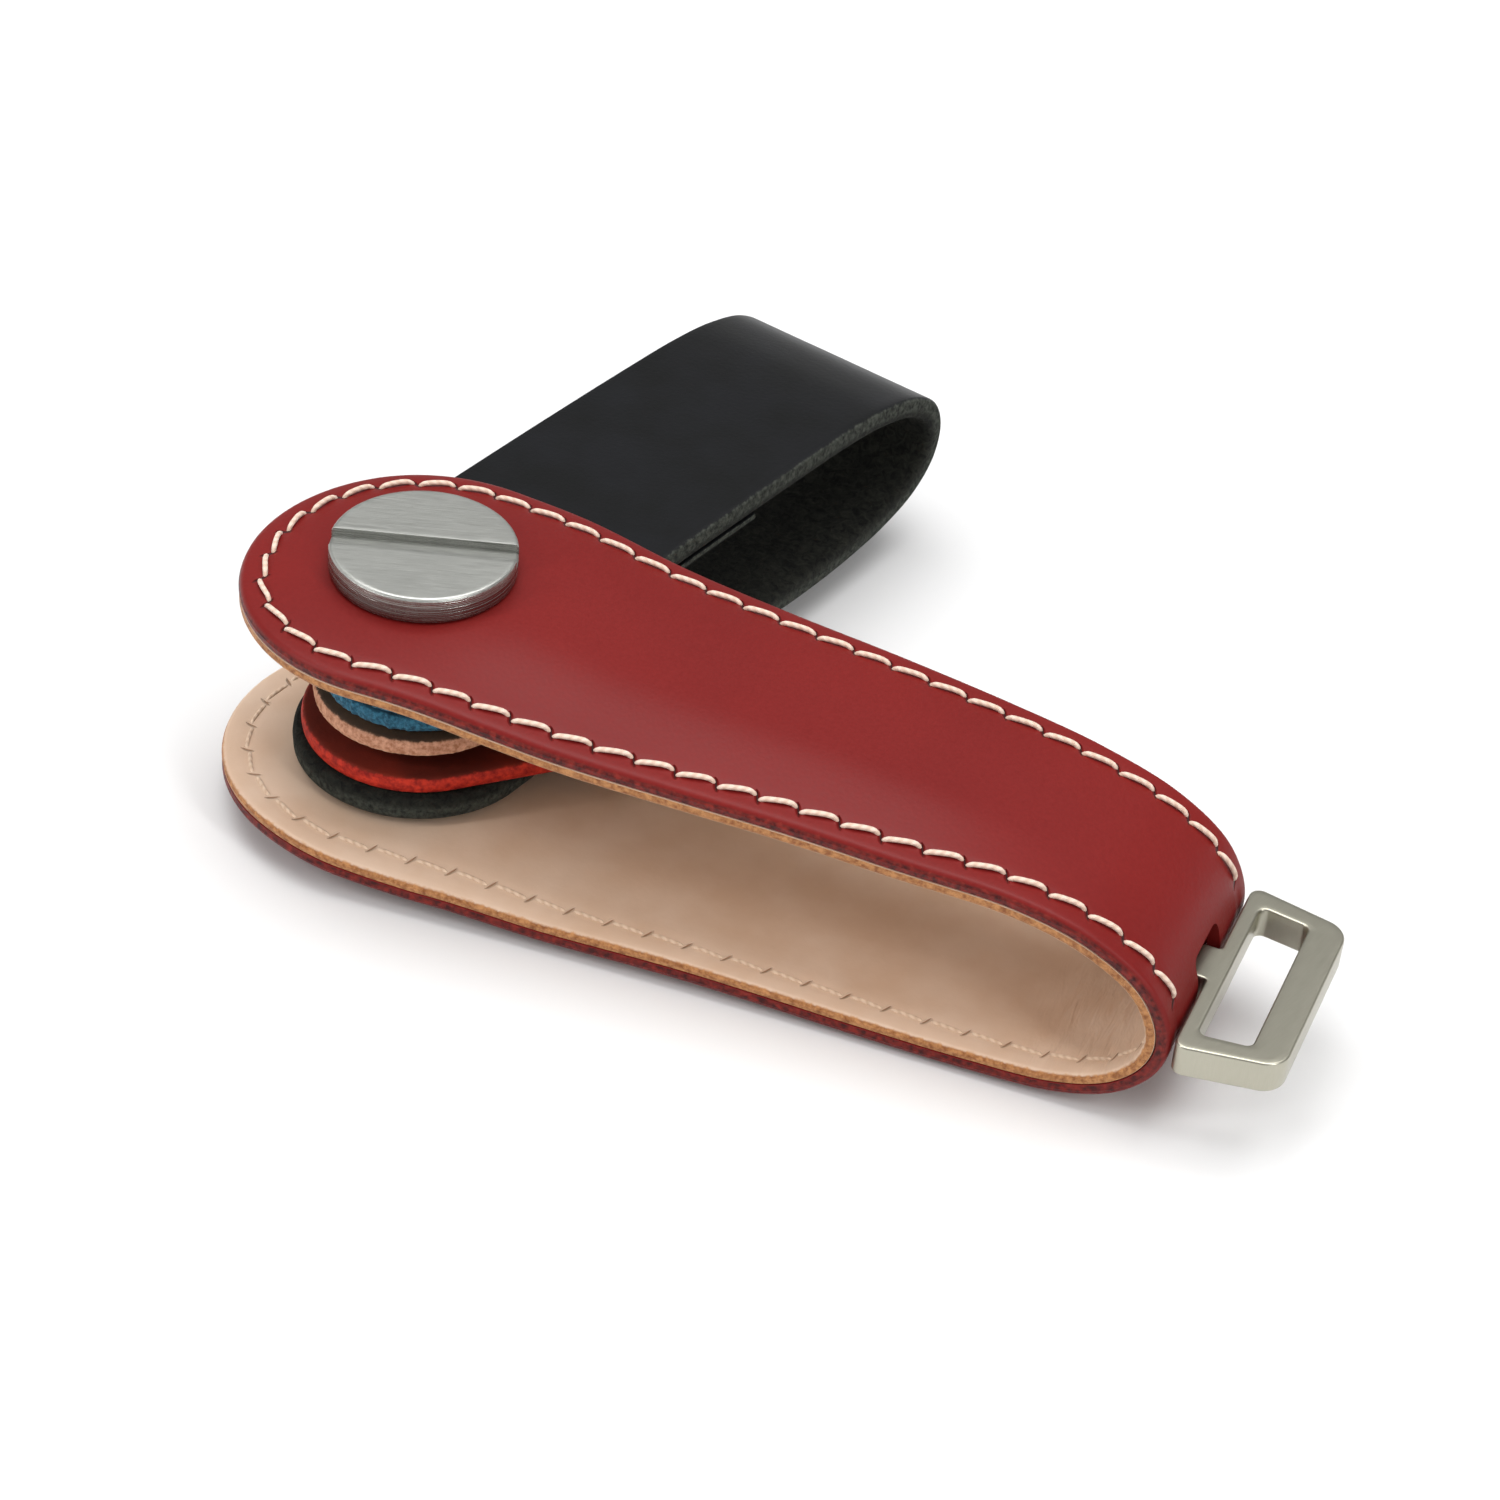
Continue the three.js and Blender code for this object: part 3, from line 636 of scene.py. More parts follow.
def round_loop(radius, wobble=0.0, seed=0, count=360):
    """A circle whose radius wavers a little, as a hand-punched leather disc's does: a few slow waves, and
    fibres that stand out here and there."""
    rng = np.random.default_rng(seed)
    turn = np.linspace(0, 2 * math.pi, count, endpoint=False)
    full_turn = 6.28
    waver = sum(rng.normal() / k * np.cos(k * turn + rng.uniform(0, full_turn)) for k in range(2, 9))
    fibres = rng.normal(size=count)
    fibres = (np.roll(fibres, 1) + 2 * fibres + np.roll(fibres, -1)) / 4
    reach = radius + wobble * (waver + fibres)
    return np.stack([reach * np.cos(turn), reach * np.sin(turn)], -1)


def disc(name, node, edge_radius, wobble, seed, bulge=0.0):
    """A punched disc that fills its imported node, with a post hole and rounded edges."""
    low, high = node_box(node)
    outer = round_loop(high[0] - wobble, wobble, seed)
    points, faces, rim = pierced_plate(outer, round_loop(POST_HOLE), low[2], high[2], edge_radius, bulge=bulge)
    return closed_mesh(name, points, faces, {"edge": rim})


def leather_tab():
    """Two circles and the lines that touch both, given by the distance out from the screw at each angle."""
    low, high = node_box("leather_tab")
    end_radius, nose_radius, nose_distance, angle = 10.0, 5.5, 17.0, math.radians(29)
    lean = math.asin((end_radius - nose_radius) / nose_distance)
    touch = math.pi / 2 - lean
    first = np.linspace(touch, 2 * math.pi - touch, 90)
    second = np.linspace(-touch, touch, 60)
    outline = np.vstack([
        np.stack([end_radius * np.cos(first), end_radius * np.sin(first)], -1),
        np.stack([nose_distance + nose_radius * np.cos(second), nose_radius * np.sin(second)], -1),
    ])
    outline = evenly(np.vstack([outline, outline[:1]]), 240)[:-1]
    hole_turn = np.arctan2(outline[:, 1], outline[:, 0])
    hole = POST_HOLE * np.stack([np.cos(hole_turn), np.sin(hole_turn)], -1)
    spin = np.array([[math.cos(angle), math.sin(angle)], [-math.sin(angle), math.cos(angle)]])
    points, faces, rim = pierced_plate(outline @ spin, hole @ spin, low[2], high[2], 0.42, bulge=0.05,
                                       rows=8, hole_radius=0.1)
    return closed_mesh("tab", points, faces, {"edge": rim})


# ---------------------------------------------------------------- belt loop

LOOP_HALF_WIDTH, LOOP_THICKNESS, LOOP_ANGLE = 10.7, 2.2, math.radians(76.5)
REINFORCEMENT, REINFORCEMENT_REACH = 0.7, 34.0
LOOP_PROFILE = [
    (-10.7, 20.6), (0, 20.6), (11, 20.6), (21, 20.55), (31, 20.45), (41, 20.25), (50, 19.9), (55.5, 19.2),
    (60.6, 17.7), (64, 15.3), (65.3, 12.2), (64.6, 8.9), (61.8, 6.3), (57, 4.7), (51, 3.95), (45, 3.75),
    (38, 4), (30, 4.6), (23, 5.4), (17, 6.05), (11, 6.1), (0, 6.1), (-10.7, 6.1),
]
loop_walk = Walk(LOOP_PROFILE)


def loop_place(s, y, depth, face):
    """The strap's flat points bent round its profile, then turned about the screw."""
    bent = loop_walk.place(s, y, depth)
    x, across = bent[..., 0], bent[..., 1]
    cos, sin = math.cos(LOOP_ANGLE), math.sin(LOOP_ANGLE)
    return np.stack([x * cos - across * sin, x * sin + across * cos, bent[..., 2]], -1)


def loop_columns(length, far_round, count=360):
    """Outline and middle line of one side of the strap: a round end with its post hole, a straight run,
    and at the far end another round end and hole or a square cut."""
    half = LOOP_HALF_WIDTH
    first = np.vstack([circle(half, half, 0, 90), [[2 * half, half]]])
    parts = [(first, circle(half, POST_HOLE, 0, 180), True, 0.25)]
    if far_round:
        far_pivot = length - half
        parts.append((np.array([[2 * half, half], [far_pivot - half, half]]),
                      np.array([[half + POST_HOLE, 0], [far_pivot - POST_HOLE, 0]]), False, 0.5))
        parts.append((first[::-1] * [-1, 1] + [length, 0], circle(far_pivot, POST_HOLE, 0, 180), True, 0.25))
    else:
        parts.append((np.array([[2 * half, half], [length, half]]),
                      np.array([[half + POST_HOLE, 0], [length - 1, 0]]), False, 0.5))
        parts.append((np.array([[length, half], [length, 0]]),
                      np.array([[length - 1, 0], [length - 1, 0]]), False, 0.12))
    sides, middles, rims = [], [], []
    for outline, middle, is_rim, share in parts:
        points = max(10, round(count * share))
        sides.append(evenly(outline.astype(float), points))
        spread = np.ptp(middle) > 0
        middles.append(evenly(middle.astype(float), points) if spread else np.repeat(middle[:1], points, 0))
        rims.append(np.full(points, is_rim))
    return np.vstack(sides), np.vstack(middles), np.concatenate(rims)


def strap():
    """The belt loop, from its upper hole round to its lower one."""
    columns = loop_columns(loop_walk.length, far_round=True)
    return strip_mesh("belt_strap", *columns, loop_place, faces_depth=(0.0, LOOP_THICKNESS), radii=(0.38, 0.55),
                      edge_rows=[2.0, 1.4, 0.9], values={})


def strap_second_layer():
    """The thin layer cemented under the strap's upper end."""
    start = LOOP_THICKNESS + CEMENT
    columns = loop_columns(LOOP_HALF_WIDTH + REINFORCEMENT_REACH, far_round=False, count=200)
    return strip_mesh("strap_second_layer", *columns, loop_place, faces_depth=(start, start + REINFORCEMENT),
                      radii=(0.12, 0.2), edge_rows=[0.9, 0.6, 0.35], values={})


# ---------------------------------------------------------------- ring and pin

def ring_link():
    """The ring's frame and the eye that reaches in to the pin, as two plates that meet in the base bar."""
    low, high = node_box("ring")
    base_x, outer_x = 72.5, 81.4
    tongue, reach = 2.1, 70.9                              # the frame's tongue runs into the slot
    outer = rounded_loop([
        (base_x, -11.2, 1.0), (outer_x, -9.5, 2.2), (outer_x, 9.5, 2.2), (base_x, 11.2, 1.0),
        (base_x, tongue, 0.3), (reach, tongue, 0.35), (reach, -tongue, 0.35), (base_x, -tongue, 0.3),
    ])
    window = rounded_loop([
        (73.9, -8.8, 0.7), (78.3, -8.2, 0.7), (78.3, 8.2, 0.7), (73.9, 8.8, 0.7),
        (73.9, 2, 0.1), (73.91, 0.7, 0.1), (73.91, -0.7, 0.1), (73.9, -2, 0.1),
    ])
    points, faces, rim = pierced_plate(outer, window, low[2], high[2], 0.2, rows=3)
    pin_low, pin_high = node_box("anchor_pin")
    pin_x = (pin_low[0] + pin_high[0]) / 2
    eye, bore, neck_end, half_height = 1.4, 0.85, base_x + 0.6, 1.4
    back = np.linspace(math.pi / 2, 3 * math.pi / 2, 40)
    keyhole = np.vstack([
        np.stack([pin_x + eye * np.cos(back), RING_MIDDLE + eye * np.sin(back)], -1),
        [[neck_end, RING_MIDDLE - half_height], [neck_end, RING_MIDDLE + half_height]],
        [[pin_x, RING_MIDDLE + eye]],
    ])
    keyhole = evenly(keyhole, 121)[:-1]
    turn = np.arctan2(keyhole[:, 1] - RING_MIDDLE, keyhole[:, 0] - pin_x)
    hole = np.stack([pin_x + bore * np.cos(turn), RING_MIDDLE + bore * np.sin(turn)], -1)
    eye_points, eye_faces, eye_rim = pierced_plate(keyhole, hole, -1.9, 1.9, 0.15, axes=(0, 2, 1), rows=1)
    all_points = np.vstack([points, eye_points])
    all_faces = np.vstack([faces, eye_faces + len(points)])
    return closed_mesh("ring_link", all_points, all_faces, {"edge": np.concatenate([rim, eye_rim])}, sharp=50)


def pin():
    """A drawn wire pin with broken edges, lying across the fold."""
    low, high = node_box("anchor_pin")
    radius, half = (high[0] - low[0]) / 2, high[1]
    profile = np.array([(0, -half), (radius - 0.15, -half), (radius, -half + 0.15), (radius, half - 0.15),
                        (radius - 0.15, half), (0, half)])
    turn = np.linspace(0, 2 * math.pi, 32, endpoint=False)
    points = np.stack([
        (low[0] + high[0]) / 2 + profile[:, :1] * np.cos(turn),
        profile[:, 1:] + 0 * turn,
        (low[2] + high[2]) / 2 + profile[:, :1] * np.sin(turn),
    ], -1)
    return closed_mesh("ring_pin", points.reshape(-1, 3), grid_faces(len(profile), 32, close_columns=True))


# ---------------------------------------------------------------- materials

def colour(code):
    """An sRGB hex colour as linear RGBA."""
    srgb = [int(code[k:k + 2], 16) / 255 for k in (0, 2, 4)]
    return [v / 12.92 if v <= 0.04045 else ((v + 0.055) / 1.055) ** 2.4 for v in srgb] + [1.0]


def add_node(tree, kind, inputs=None, stops=(), **settings):
    """One node with its settings; inputs gives each socket a value or the output that feeds it, and stops
    gives the two (place, hex colour) ends of a colour ramp."""
    node = tree.nodes.new(kind)
    for key, value in settings.items():
        setattr(node, key, value)
    for socket, value in (inputs or {}).items():
        if isinstance(value, bpy.types.NodeSocket):
            tree.links.new(value, node.inputs[socket])
        else:
            node.inputs[socket].default_value = value
    for end, (place, code) in enumerate(stops):
        element = node.color_ramp.elements[end]
        element.position, element.color = place, colour(code)
    return node


def new_material(name, **shader):
    """A material with one Principled shader whose constant sockets are set; returns it, its tree and shader."""
    material = bpy.data.materials.new(name)
    material.use_nodes = True
    tree = material.node_tree
    principled = tree.nodes["Principled BSDF"]
    for socket, value in shader.items():
        principled.inputs[socket.replace("_", " ")].default_value = value
    return material, tree, principled


def per_metre(millimetres):
    """Noise scale whose features are this many millimetres across, on Object coordinates in metres."""
    return 1.0 / (millimetres * MM)


def aniline_red_leather():
    """Full-grain calf, drum dyed and waxed: a smooth, softly glossy face with fine pores; its cut edge is
    stained dark and burnished, and each stitch hole is a slanted awl slit."""
    material, tree, shader = new_material("aniline_red_leather", Specular_IOR_Level=0.22, IOR=1.48)
    place = add_node(tree, "ShaderNodeTexCoord").outputs["Object"]
    cloud = add_node(tree, "ShaderNodeTexNoise", {"Vector": place, "Scale": per_metre(18), "Detail": 3.0})
    pores = add_node(tree, "ShaderNodeTexVoronoi", {"Vector": place, "Scale": per_metre(0.42)},
                     feature="F1", distance="EUCLIDEAN")
    fine = add_node(tree, "ShaderNodeTexNoise", {"Vector": place, "Scale": per_metre(0.3), "Detail": 4.0})
    tone = add_node(tree, "ShaderNodeMix", {"Factor": cloud.outputs["Fac"], 6: colour("6A1413"),
                                            7: colour("7D1B18")}, data_type="RGBA")
    speckle = add_node(tree, "ShaderNodeMapRange", {"Value": fine.outputs["Fac"], "From Min": 0.3, "From Max": 0.7,
                                                    "To Min": 0.93, "To Max": 1.05})
    grained = add_node(tree, "ShaderNodeMix", {"Factor": 1.0, 6: tone.outputs[2], 7: speckle.outputs[0]},
                       data_type="RGBA", blend_type="MULTIPLY")
    slit, slit_shade_mask = awl_slits(tree, 0.12, 0.62)
    # The slits are painted near-black: painted shade inside the awl cuts.
    slitted = add_node(tree, "ShaderNodeMix", {"Factor": slit_shade_mask, 6: grained.outputs[2], 7: colour("1C0708")},
                       data_type="RGBA")
    edge = add_node(tree, "ShaderNodeAttribute", attribute_name="edge")
    fibres = add_node(tree, "ShaderNodeTexNoise", {"Vector": place, "Scale": per_metre(0.5), "Detail": 6.0})
    edge_mix = add_node(tree, "ShaderNodeMath", {0: edge.outputs["Fac"], 1: fibres.outputs["Fac"]},
                        operation="ADD")
    edge_share = add_node(tree, "ShaderNodeMapRange", {"Value": edge_mix.outputs[0], "From Min": 0.85,
                                                       "From Max": 1.25}, interpolation_type="SMOOTHSTEP")
    stain = add_node(tree, "ShaderNodeValToRGB", {"Fac": fibres.outputs["Fac"]},
                     stops=((0.35, "3A0F10"), (0.68, "80261F")))
    finished = add_node(tree, "ShaderNodeMix", {"Factor": edge_share.outputs[0], 6: slitted.outputs[2],
                                                7: stain.outputs["Color"]}, data_type="RGBA")
    rough = add_node(tree, "ShaderNodeMapRange", {"Value": fine.outputs["Fac"], "From Min": 0.3, "From Max": 0.7,
                                                  "To Min": 0.4, "To Max": 0.5})
    pore_bump = add_node(tree, "ShaderNodeBump", {"Height": pores.outputs["Distance"], "Strength": 0.12,
                                                  "Distance": 0.00006})
    fine_bump = add_node(tree, "ShaderNodeBump", {"Height": fine.outputs["Fac"], "Strength": 0.18,
                                                  "Distance": 0.00004, "Normal": pore_bump.outputs["Normal"]})
    slit_bump = add_node(tree, "ShaderNodeBump", {"Height": slit, "Strength": 0.9, "Distance": 0.00035,
                                                  "Normal": fine_bump.outputs["Normal"]}, invert=True)
    tree.links.new(finished.outputs[2], shader.inputs["Base Color"])
    tree.links.new(rough.outputs[0], shader.inputs["Roughness"])
    tree.links.new(slit_bump.outputs["Normal"], shader.inputs["Normal"])
    return material


def awl_slits(tree, half_thickness, half_length):
    """A slit at each whole stitch count, on the stitching line: returns a soft dent, and a sharp mask that paints
    the slit dark as painted shade inside the cut.
    """
    count = add_node(tree, "ShaderNodeAttribute", attribute_name="count")
    line = add_node(tree, "ShaderNodeAttribute", attribute_name="off_line")
    nearest = add_node(tree, "ShaderNodeMath", {0: count.outputs["Fac"]}, operation="ROUND")
    off = add_node(tree, "ShaderNodeMath", {0: count.outputs["Fac"], 1: nearest.outputs[0]}, operation="SUBTRACT")
    along = add_node(tree, "ShaderNodeMath", {0: off.outputs[0], 1: PITCH / half_thickness}, operation="MULTIPLY")
    across = add_node(tree, "ShaderNodeMath", {0: line.outputs["Fac"], 1: 1 / half_length}, operation="MULTIPLY")
    along_abs = add_node(tree, "ShaderNodeMath", {0: along.outputs[0]}, operation="ABSOLUTE")
    across_abs = add_node(tree, "ShaderNodeMath", {0: across.outputs[0]}, operation="ABSOLUTE")
    across_4 = add_node(tree, "ShaderNodeMath", {0: across_abs.outputs[0], 1: 4.0}, operation="POWER")
    reach = add_node(tree, "ShaderNodeMath", {0: along_abs.outputs[0], 1: across_4.outputs[0]}, operation="ADD")
    dent = add_node(tree, "ShaderNodeMapRange", {"Value": reach.outputs[0], "From Min": 0.0, "From Max": 2.6,
                                                 "To Min": 1.0, "To Max": 0.0}, interpolation_type="SMOOTHSTEP")
    mask = add_node(tree, "ShaderNodeMapRange", {"Value": reach.outputs[0], "From Min": 0.5, "From Max": 1.1,
                                                 "To Min": 0.9, "To Max": 0.0}, interpolation_type="SMOOTHSTEP")
    return dent.outputs[0], mask.outputs[0]


def simple_leather(name, tones, rough, fibre_mm=0.45, bump=0.25, sheen=0.0, edge_start=0.35):
    """Shared build of the lining, disc, tab and strap leathers. Of the four tones, the face drifts between
    the first two and the raw or burnished edge between the last two; fibres roughen both."""
    face_low, face_high, edge_low, edge_high = tones
    material, tree, shader = new_material(name, Specular_IOR_Level=0.22, IOR=1.48)
    shader.inputs["Sheen Weight"].default_value = sheen
    place = add_node(tree, "ShaderNodeTexCoord").outputs["Object"]
    cloud = add_node(tree, "ShaderNodeTexNoise", {"Vector": place, "Scale": per_metre(6), "Detail": 5.0})
    fibres = add_node(tree, "ShaderNodeTexNoise", {"Vector": place, "Scale": per_metre(fibre_mm), "Detail": 6.0,
                                                   "Roughness": 0.65})
    face = add_node(tree, "ShaderNodeValToRGB", {"Fac": cloud.outputs["Fac"]},
                    stops=((0.35, face_low), (0.65, face_high)))
    rim = add_node(tree, "ShaderNodeValToRGB", {"Fac": fibres.outputs["Fac"]},
                   stops=((0.36, edge_low), (0.62, edge_high)))
    edge = add_node(tree, "ShaderNodeAttribute", attribute_name="edge")
    edge_sum = add_node(tree, "ShaderNodeMath", {0: fibres.outputs["Fac"], 1: edge.outputs["Fac"]},
                        operation="ADD")
    share = add_node(tree, "ShaderNodeMapRange", {"Value": edge_sum.outputs[0], "From Min": 0.3 + edge_start,
                                                  "From Max": 0.75 + edge_start},
                     interpolation_type="SMOOTHSTEP")
    mixed = add_node(tree, "ShaderNodeMix", {"Factor": share.outputs[0], 6: face.outputs["Color"],
                                             7: rim.outputs["Color"]}, data_type="RGBA")
    tree.links.new(mixed.outputs[2], shader.inputs["Base Color"])
    roughness = add_node(tree, "ShaderNodeMapRange", {"Value": share.outputs[0], "To Min": rough[0],
                                                      "To Max": rough[1]})
    tree.links.new(roughness.outputs[0], shader.inputs["Roughness"])
    relief = add_node(tree, "ShaderNodeBump", {"Height": fibres.outputs["Fac"], "Strength": bump,
                                               "Distance": 0.00012})
    tree.links.new(relief.outputs["Normal"], shader.inputs["Normal"])
    return material, tree, shader, mixed, relief, place


def vegetable_tanned_lining():
    """Undyed vegetable-tanned leather: a smooth pinkish-tan grain with faint wrinkles where it turns round
    the fold, small awl slits, and a burnished orange-brown edge."""
    material, tree, shader, mixed, relief, place = simple_leather(
        "vegetable_tanned_lining", ("CFB096", "D8BDA6", "84502E", "BC8656"), (0.5, 0.42), 0.5, 0.12)
    slit, slit_shade_mask = awl_slits(tree, 0.1, 0.5)
    # The slits are painted a darker tan: painted shade inside the awl cuts.
    slitted = add_node(tree, "ShaderNodeMix", {"Factor": slit_shade_mask, 6: mixed.outputs[2], 7: colour("9A7254")},
                       data_type="RGBA")
    tree.links.new(slitted.outputs[2], shader.inputs["Base Color"])
    slit_bump = add_node(tree, "ShaderNodeBump", {"Height": slit, "Strength": 0.7, "Distance": 0.0003,
                                                  "Normal": relief.outputs["Normal"]}, invert=True)
    stretch = add_node(tree, "ShaderNodeMapping", {"Vector": place, "Scale": (1.0, 0.22, 0.8)})
    wrinkles = add_node(tree, "ShaderNodeTexNoise", {"Vector": stretch.outputs[0], "Scale": per_metre(1.1),
                                                     "Detail": 3.0, "Distortion": 0.6})
    parts = add_node(tree, "ShaderNodeSeparateXYZ", {0: place})
    near_fold = add_node(tree, "ShaderNodeMapRange", {"Value": parts.outputs["X"], "From Min": 0.056,
                                                      "From Max": 0.068, "To Min": 0.0, "To Max": 1.0},
                         interpolation_type="SMOOTHSTEP")
    height = add_node(tree, "ShaderNodeMath", {0: wrinkles.outputs["Fac"], 1: near_fold.outputs[0]},
                      operation="MULTIPLY")
    wrinkle_bump = add_node(tree, "ShaderNodeBump", {"Height": height.outputs[0], "Strength": 0.9,
                                                     "Distance": 0.0005, "Normal": slit_bump.outputs["Normal"]})
    tree.links.new(wrinkle_bump.outputs["Normal"], shader.inputs["Normal"])
    return material


def linen_thread(name, dark, light):
    """Three-ply linen, waxed: off-white, matt, with its twist showing as slanted ridges 0.8 mm apart."""
    material, tree, shader = new_material(name, Roughness=0.7, Specular_IOR_Level=0.3)
    shader.inputs["Sheen Weight"].default_value = 0.25
    along = add_node(tree, "ShaderNodeAttribute", attribute_name="along")
    turn = add_node(tree, "ShaderNodeAttribute", attribute_name="round")
    place = add_node(tree, "ShaderNodeTexCoord").outputs["Object"]
    lay = add_node(tree, "ShaderNodeMath", {0: along.outputs["Fac"], 1: 2 * math.pi / 0.8}, operation="MULTIPLY")
    wind = add_node(tree, "ShaderNodeMath", {0: turn.outputs["Fac"], 1: math.pi}, operation="MULTIPLY")
    phase = add_node(tree, "ShaderNodeMath", {0: lay.outputs[0], 1: wind.outputs[0]}, operation="ADD")
    ply = add_node(tree, "ShaderNodeMath", {0: phase.outputs[0]}, operation="SINE")
    hair = add_node(tree, "ShaderNodeTexNoise", {"Vector": place, "Scale": per_metre(0.12), "Detail": 3.0})
    # Painted shade: the colour darkens where the ply is low, in the grooves between the plies.
    tone = add_node(tree, "ShaderNodeMapRange", {"Value": ply.outputs[0], "From Min": -1.0, "From Max": 0.6})
    shade = add_node(tree, "ShaderNodeMix", {"Factor": tone.outputs[0], 6: colour(dark), 7: colour(light)},
                     data_type="RGBA")
    tree.links.new(shade.outputs[2], shader.inputs["Base Color"])
    ply_bump = add_node(tree, "ShaderNodeBump", {"Height": ply.outputs[0], "Strength": 0.3, "Distance": 0.00008})
    hair_bump = add_node(tree, "ShaderNodeBump", {"Height": hair.outputs["Fac"], "Strength": 0.3,
                                                  "Distance": 0.00005, "Normal": ply_bump.outputs["Normal"]})
    tree.links.new(hair_bump.outputs["Normal"], shader.inputs["Normal"])
    return material


def brushed_metal(name, tone, grain_angle, grain, rough, bump=0.2, side_bump=0.2, side_rough=0.9,
                  painted_shade_heights=(-1.0, 0.0)):
    """Plain steel or nickel with a brushed grain: fine straight scratches along one direction on the flats,
    and turned scratches round the sides. grain is (length, width) of a scratch in millimetres. As painted
    shade, the colour darkens from the second of painted_shade_heights down to the first, and stays dark below."""
    material, tree, shader = new_material(name, Metallic=1.0)
    place = add_node(tree, "ShaderNodeTexCoord").outputs["Object"]
    length, width = grain
    lowest, highest = painted_shade_heights
    turned_place = add_node(tree, "ShaderNodeMapping", {"Vector": place, "Rotation": (0, 0, -grain_angle)})
    stretch = add_node(tree, "ShaderNodeMapping", {"Vector": turned_place.outputs[0],
                                                   "Scale": (1 / length, 1 / width, 1 / length)})
    scratches = add_node(tree, "ShaderNodeTexNoise", {"Vector": stretch.outputs[0], "Scale": 1 / MM,
                                                      "Detail": 3.0, "Roughness": 0.6})
    level = add_node(tree, "ShaderNodeMapping", {"Vector": place, "Scale": (0.02, 0.02, 1 / width)})
    rings = add_node(tree, "ShaderNodeTexNoise", {"Vector": level.outputs[0], "Scale": 1 / MM, "Detail": 2.0})
    shade = add_node(tree, "ShaderNodeMix", {"Factor": scratches.outputs["Fac"], 6: colour(tone[0]),
                                             7: colour(tone[1])}, data_type="RGBA")
    facing = add_node(tree, "ShaderNodeSeparateXYZ", {0: add_node(tree, "ShaderNodeNewGeometry").outputs["Normal"]})
    upright = add_node(tree, "ShaderNodeMath", {0: facing.outputs["Z"]}, operation="ABSOLUTE")
    recess = add_node(tree, "ShaderNodeSeparateXYZ", {0: place})
    # Painted shade: the colour darkens by height between the two heights, standing in for the shade in the screw's
    # slot; everything lower, the head's lower side and the whole post, is darkened throughout.
    depth = add_node(tree, "ShaderNodeMapRange", {"Value": recess.outputs["Z"], "From Min": lowest * MM,
                                                  "From Max": highest * MM, "To Min": 0.62, "To Max": 1.0})
    painted_shade_mix = add_node(tree, "ShaderNodeMix", {"Factor": 1.0, 6: shade.outputs[2], 7: depth.outputs[0]},
                     data_type="RGBA", blend_type="MULTIPLY")
    tree.links.new(painted_shade_mix.outputs[2], shader.inputs["Base Color"])
    grain_rough = add_node(tree, "ShaderNodeMapRange", {"Value": scratches.outputs["Fac"], "From Min": 0.3,
                                                        "From Max": 0.7, "To Min": rough[0], "To Max": rough[1]})
    share = add_node(tree, "ShaderNodeMapRange", {"Value": upright.outputs[0], "To Min": side_rough, "To Max": 1.0})
    roughness = add_node(tree, "ShaderNodeMath", {0: grain_rough.outputs[0], 1: share.outputs[0]},
                         operation="MULTIPLY")
    tree.links.new(roughness.outputs[0], shader.inputs["Roughness"])
    flat_bump = add_node(tree, "ShaderNodeBump", {"Height": scratches.outputs["Fac"], "Strength": bump,
                                                  "Distance": 0.00003})
    both_bump = add_node(tree, "ShaderNodeBump", {"Height": rings.outputs["Fac"], "Strength": side_bump,
                                                  "Distance": 0.00012, "Normal": flat_bump.outputs["Normal"]})
    tree.links.new(both_bump.outputs["Normal"], shader.inputs["Normal"])
    return material


def black_bridle_leather():
    """Black bridle leather: a smooth waxed face with a cool sheen, a charcoal cut edge, and a raw, fibrous
    flesh side."""
    material, tree, shader, mixed, relief, place = simple_leather(
        "black_bridle_leather", ("0A0B0C", "101114", "161815", "43463F"), (0.4, 0.85), 0.5, 0.2)
    flesh = add_node(tree, "ShaderNodeAttribute", attribute_name="flesh")
    nap = add_node(tree, "ShaderNodeTexNoise", {"Vector": place, "Scale": per_metre(0.8), "Detail": 8.0,
                                                "Roughness": 0.7, "Distortion": 0.8})
    nap_tone = add_node(tree, "ShaderNodeValToRGB", {"Fac": nap.outputs["Fac"]},
                        stops=((0.38, "0B0C0B"), (0.66, "2B2C26")))
    both = add_node(tree, "ShaderNodeMix", {"Factor": flesh.outputs["Fac"], 6: mixed.outputs[2],
                                            7: nap_tone.outputs["Color"]}, data_type="RGBA")
    tree.links.new(both.outputs[2], shader.inputs["Base Color"])
    edge = add_node(tree, "ShaderNodeAttribute", attribute_name="edge")
    raw = add_node(tree, "ShaderNodeMath", {0: edge.outputs["Fac"], 1: flesh.outputs["Fac"]}, operation="MAXIMUM")
    rough = add_node(tree, "ShaderNodeMapRange", {"Value": raw.outputs[0], "To Min": 0.4, "To Max": 0.92})
    tree.links.new(rough.outputs[0], shader.inputs["Roughness"])
    strength = add_node(tree, "ShaderNodeMath", {0: nap.outputs["Fac"], 1: raw.outputs[0]}, operation="MULTIPLY")
    nap_bump = add_node(tree, "ShaderNodeBump", {"Height": strength.outputs[0], "Strength": 0.9,
                                                 "Distance": 0.0004, "Normal": relief.outputs["Normal"]})
    tree.links.new(nap_bump.outputs["Normal"], shader.inputs["Normal"])
    return material


def seamless_paper():
    """White paper sweep."""
    material, *_ = new_material("seamless_paper", Base_Color=colour("E6E6E6"), Roughness=0.9)
    return material


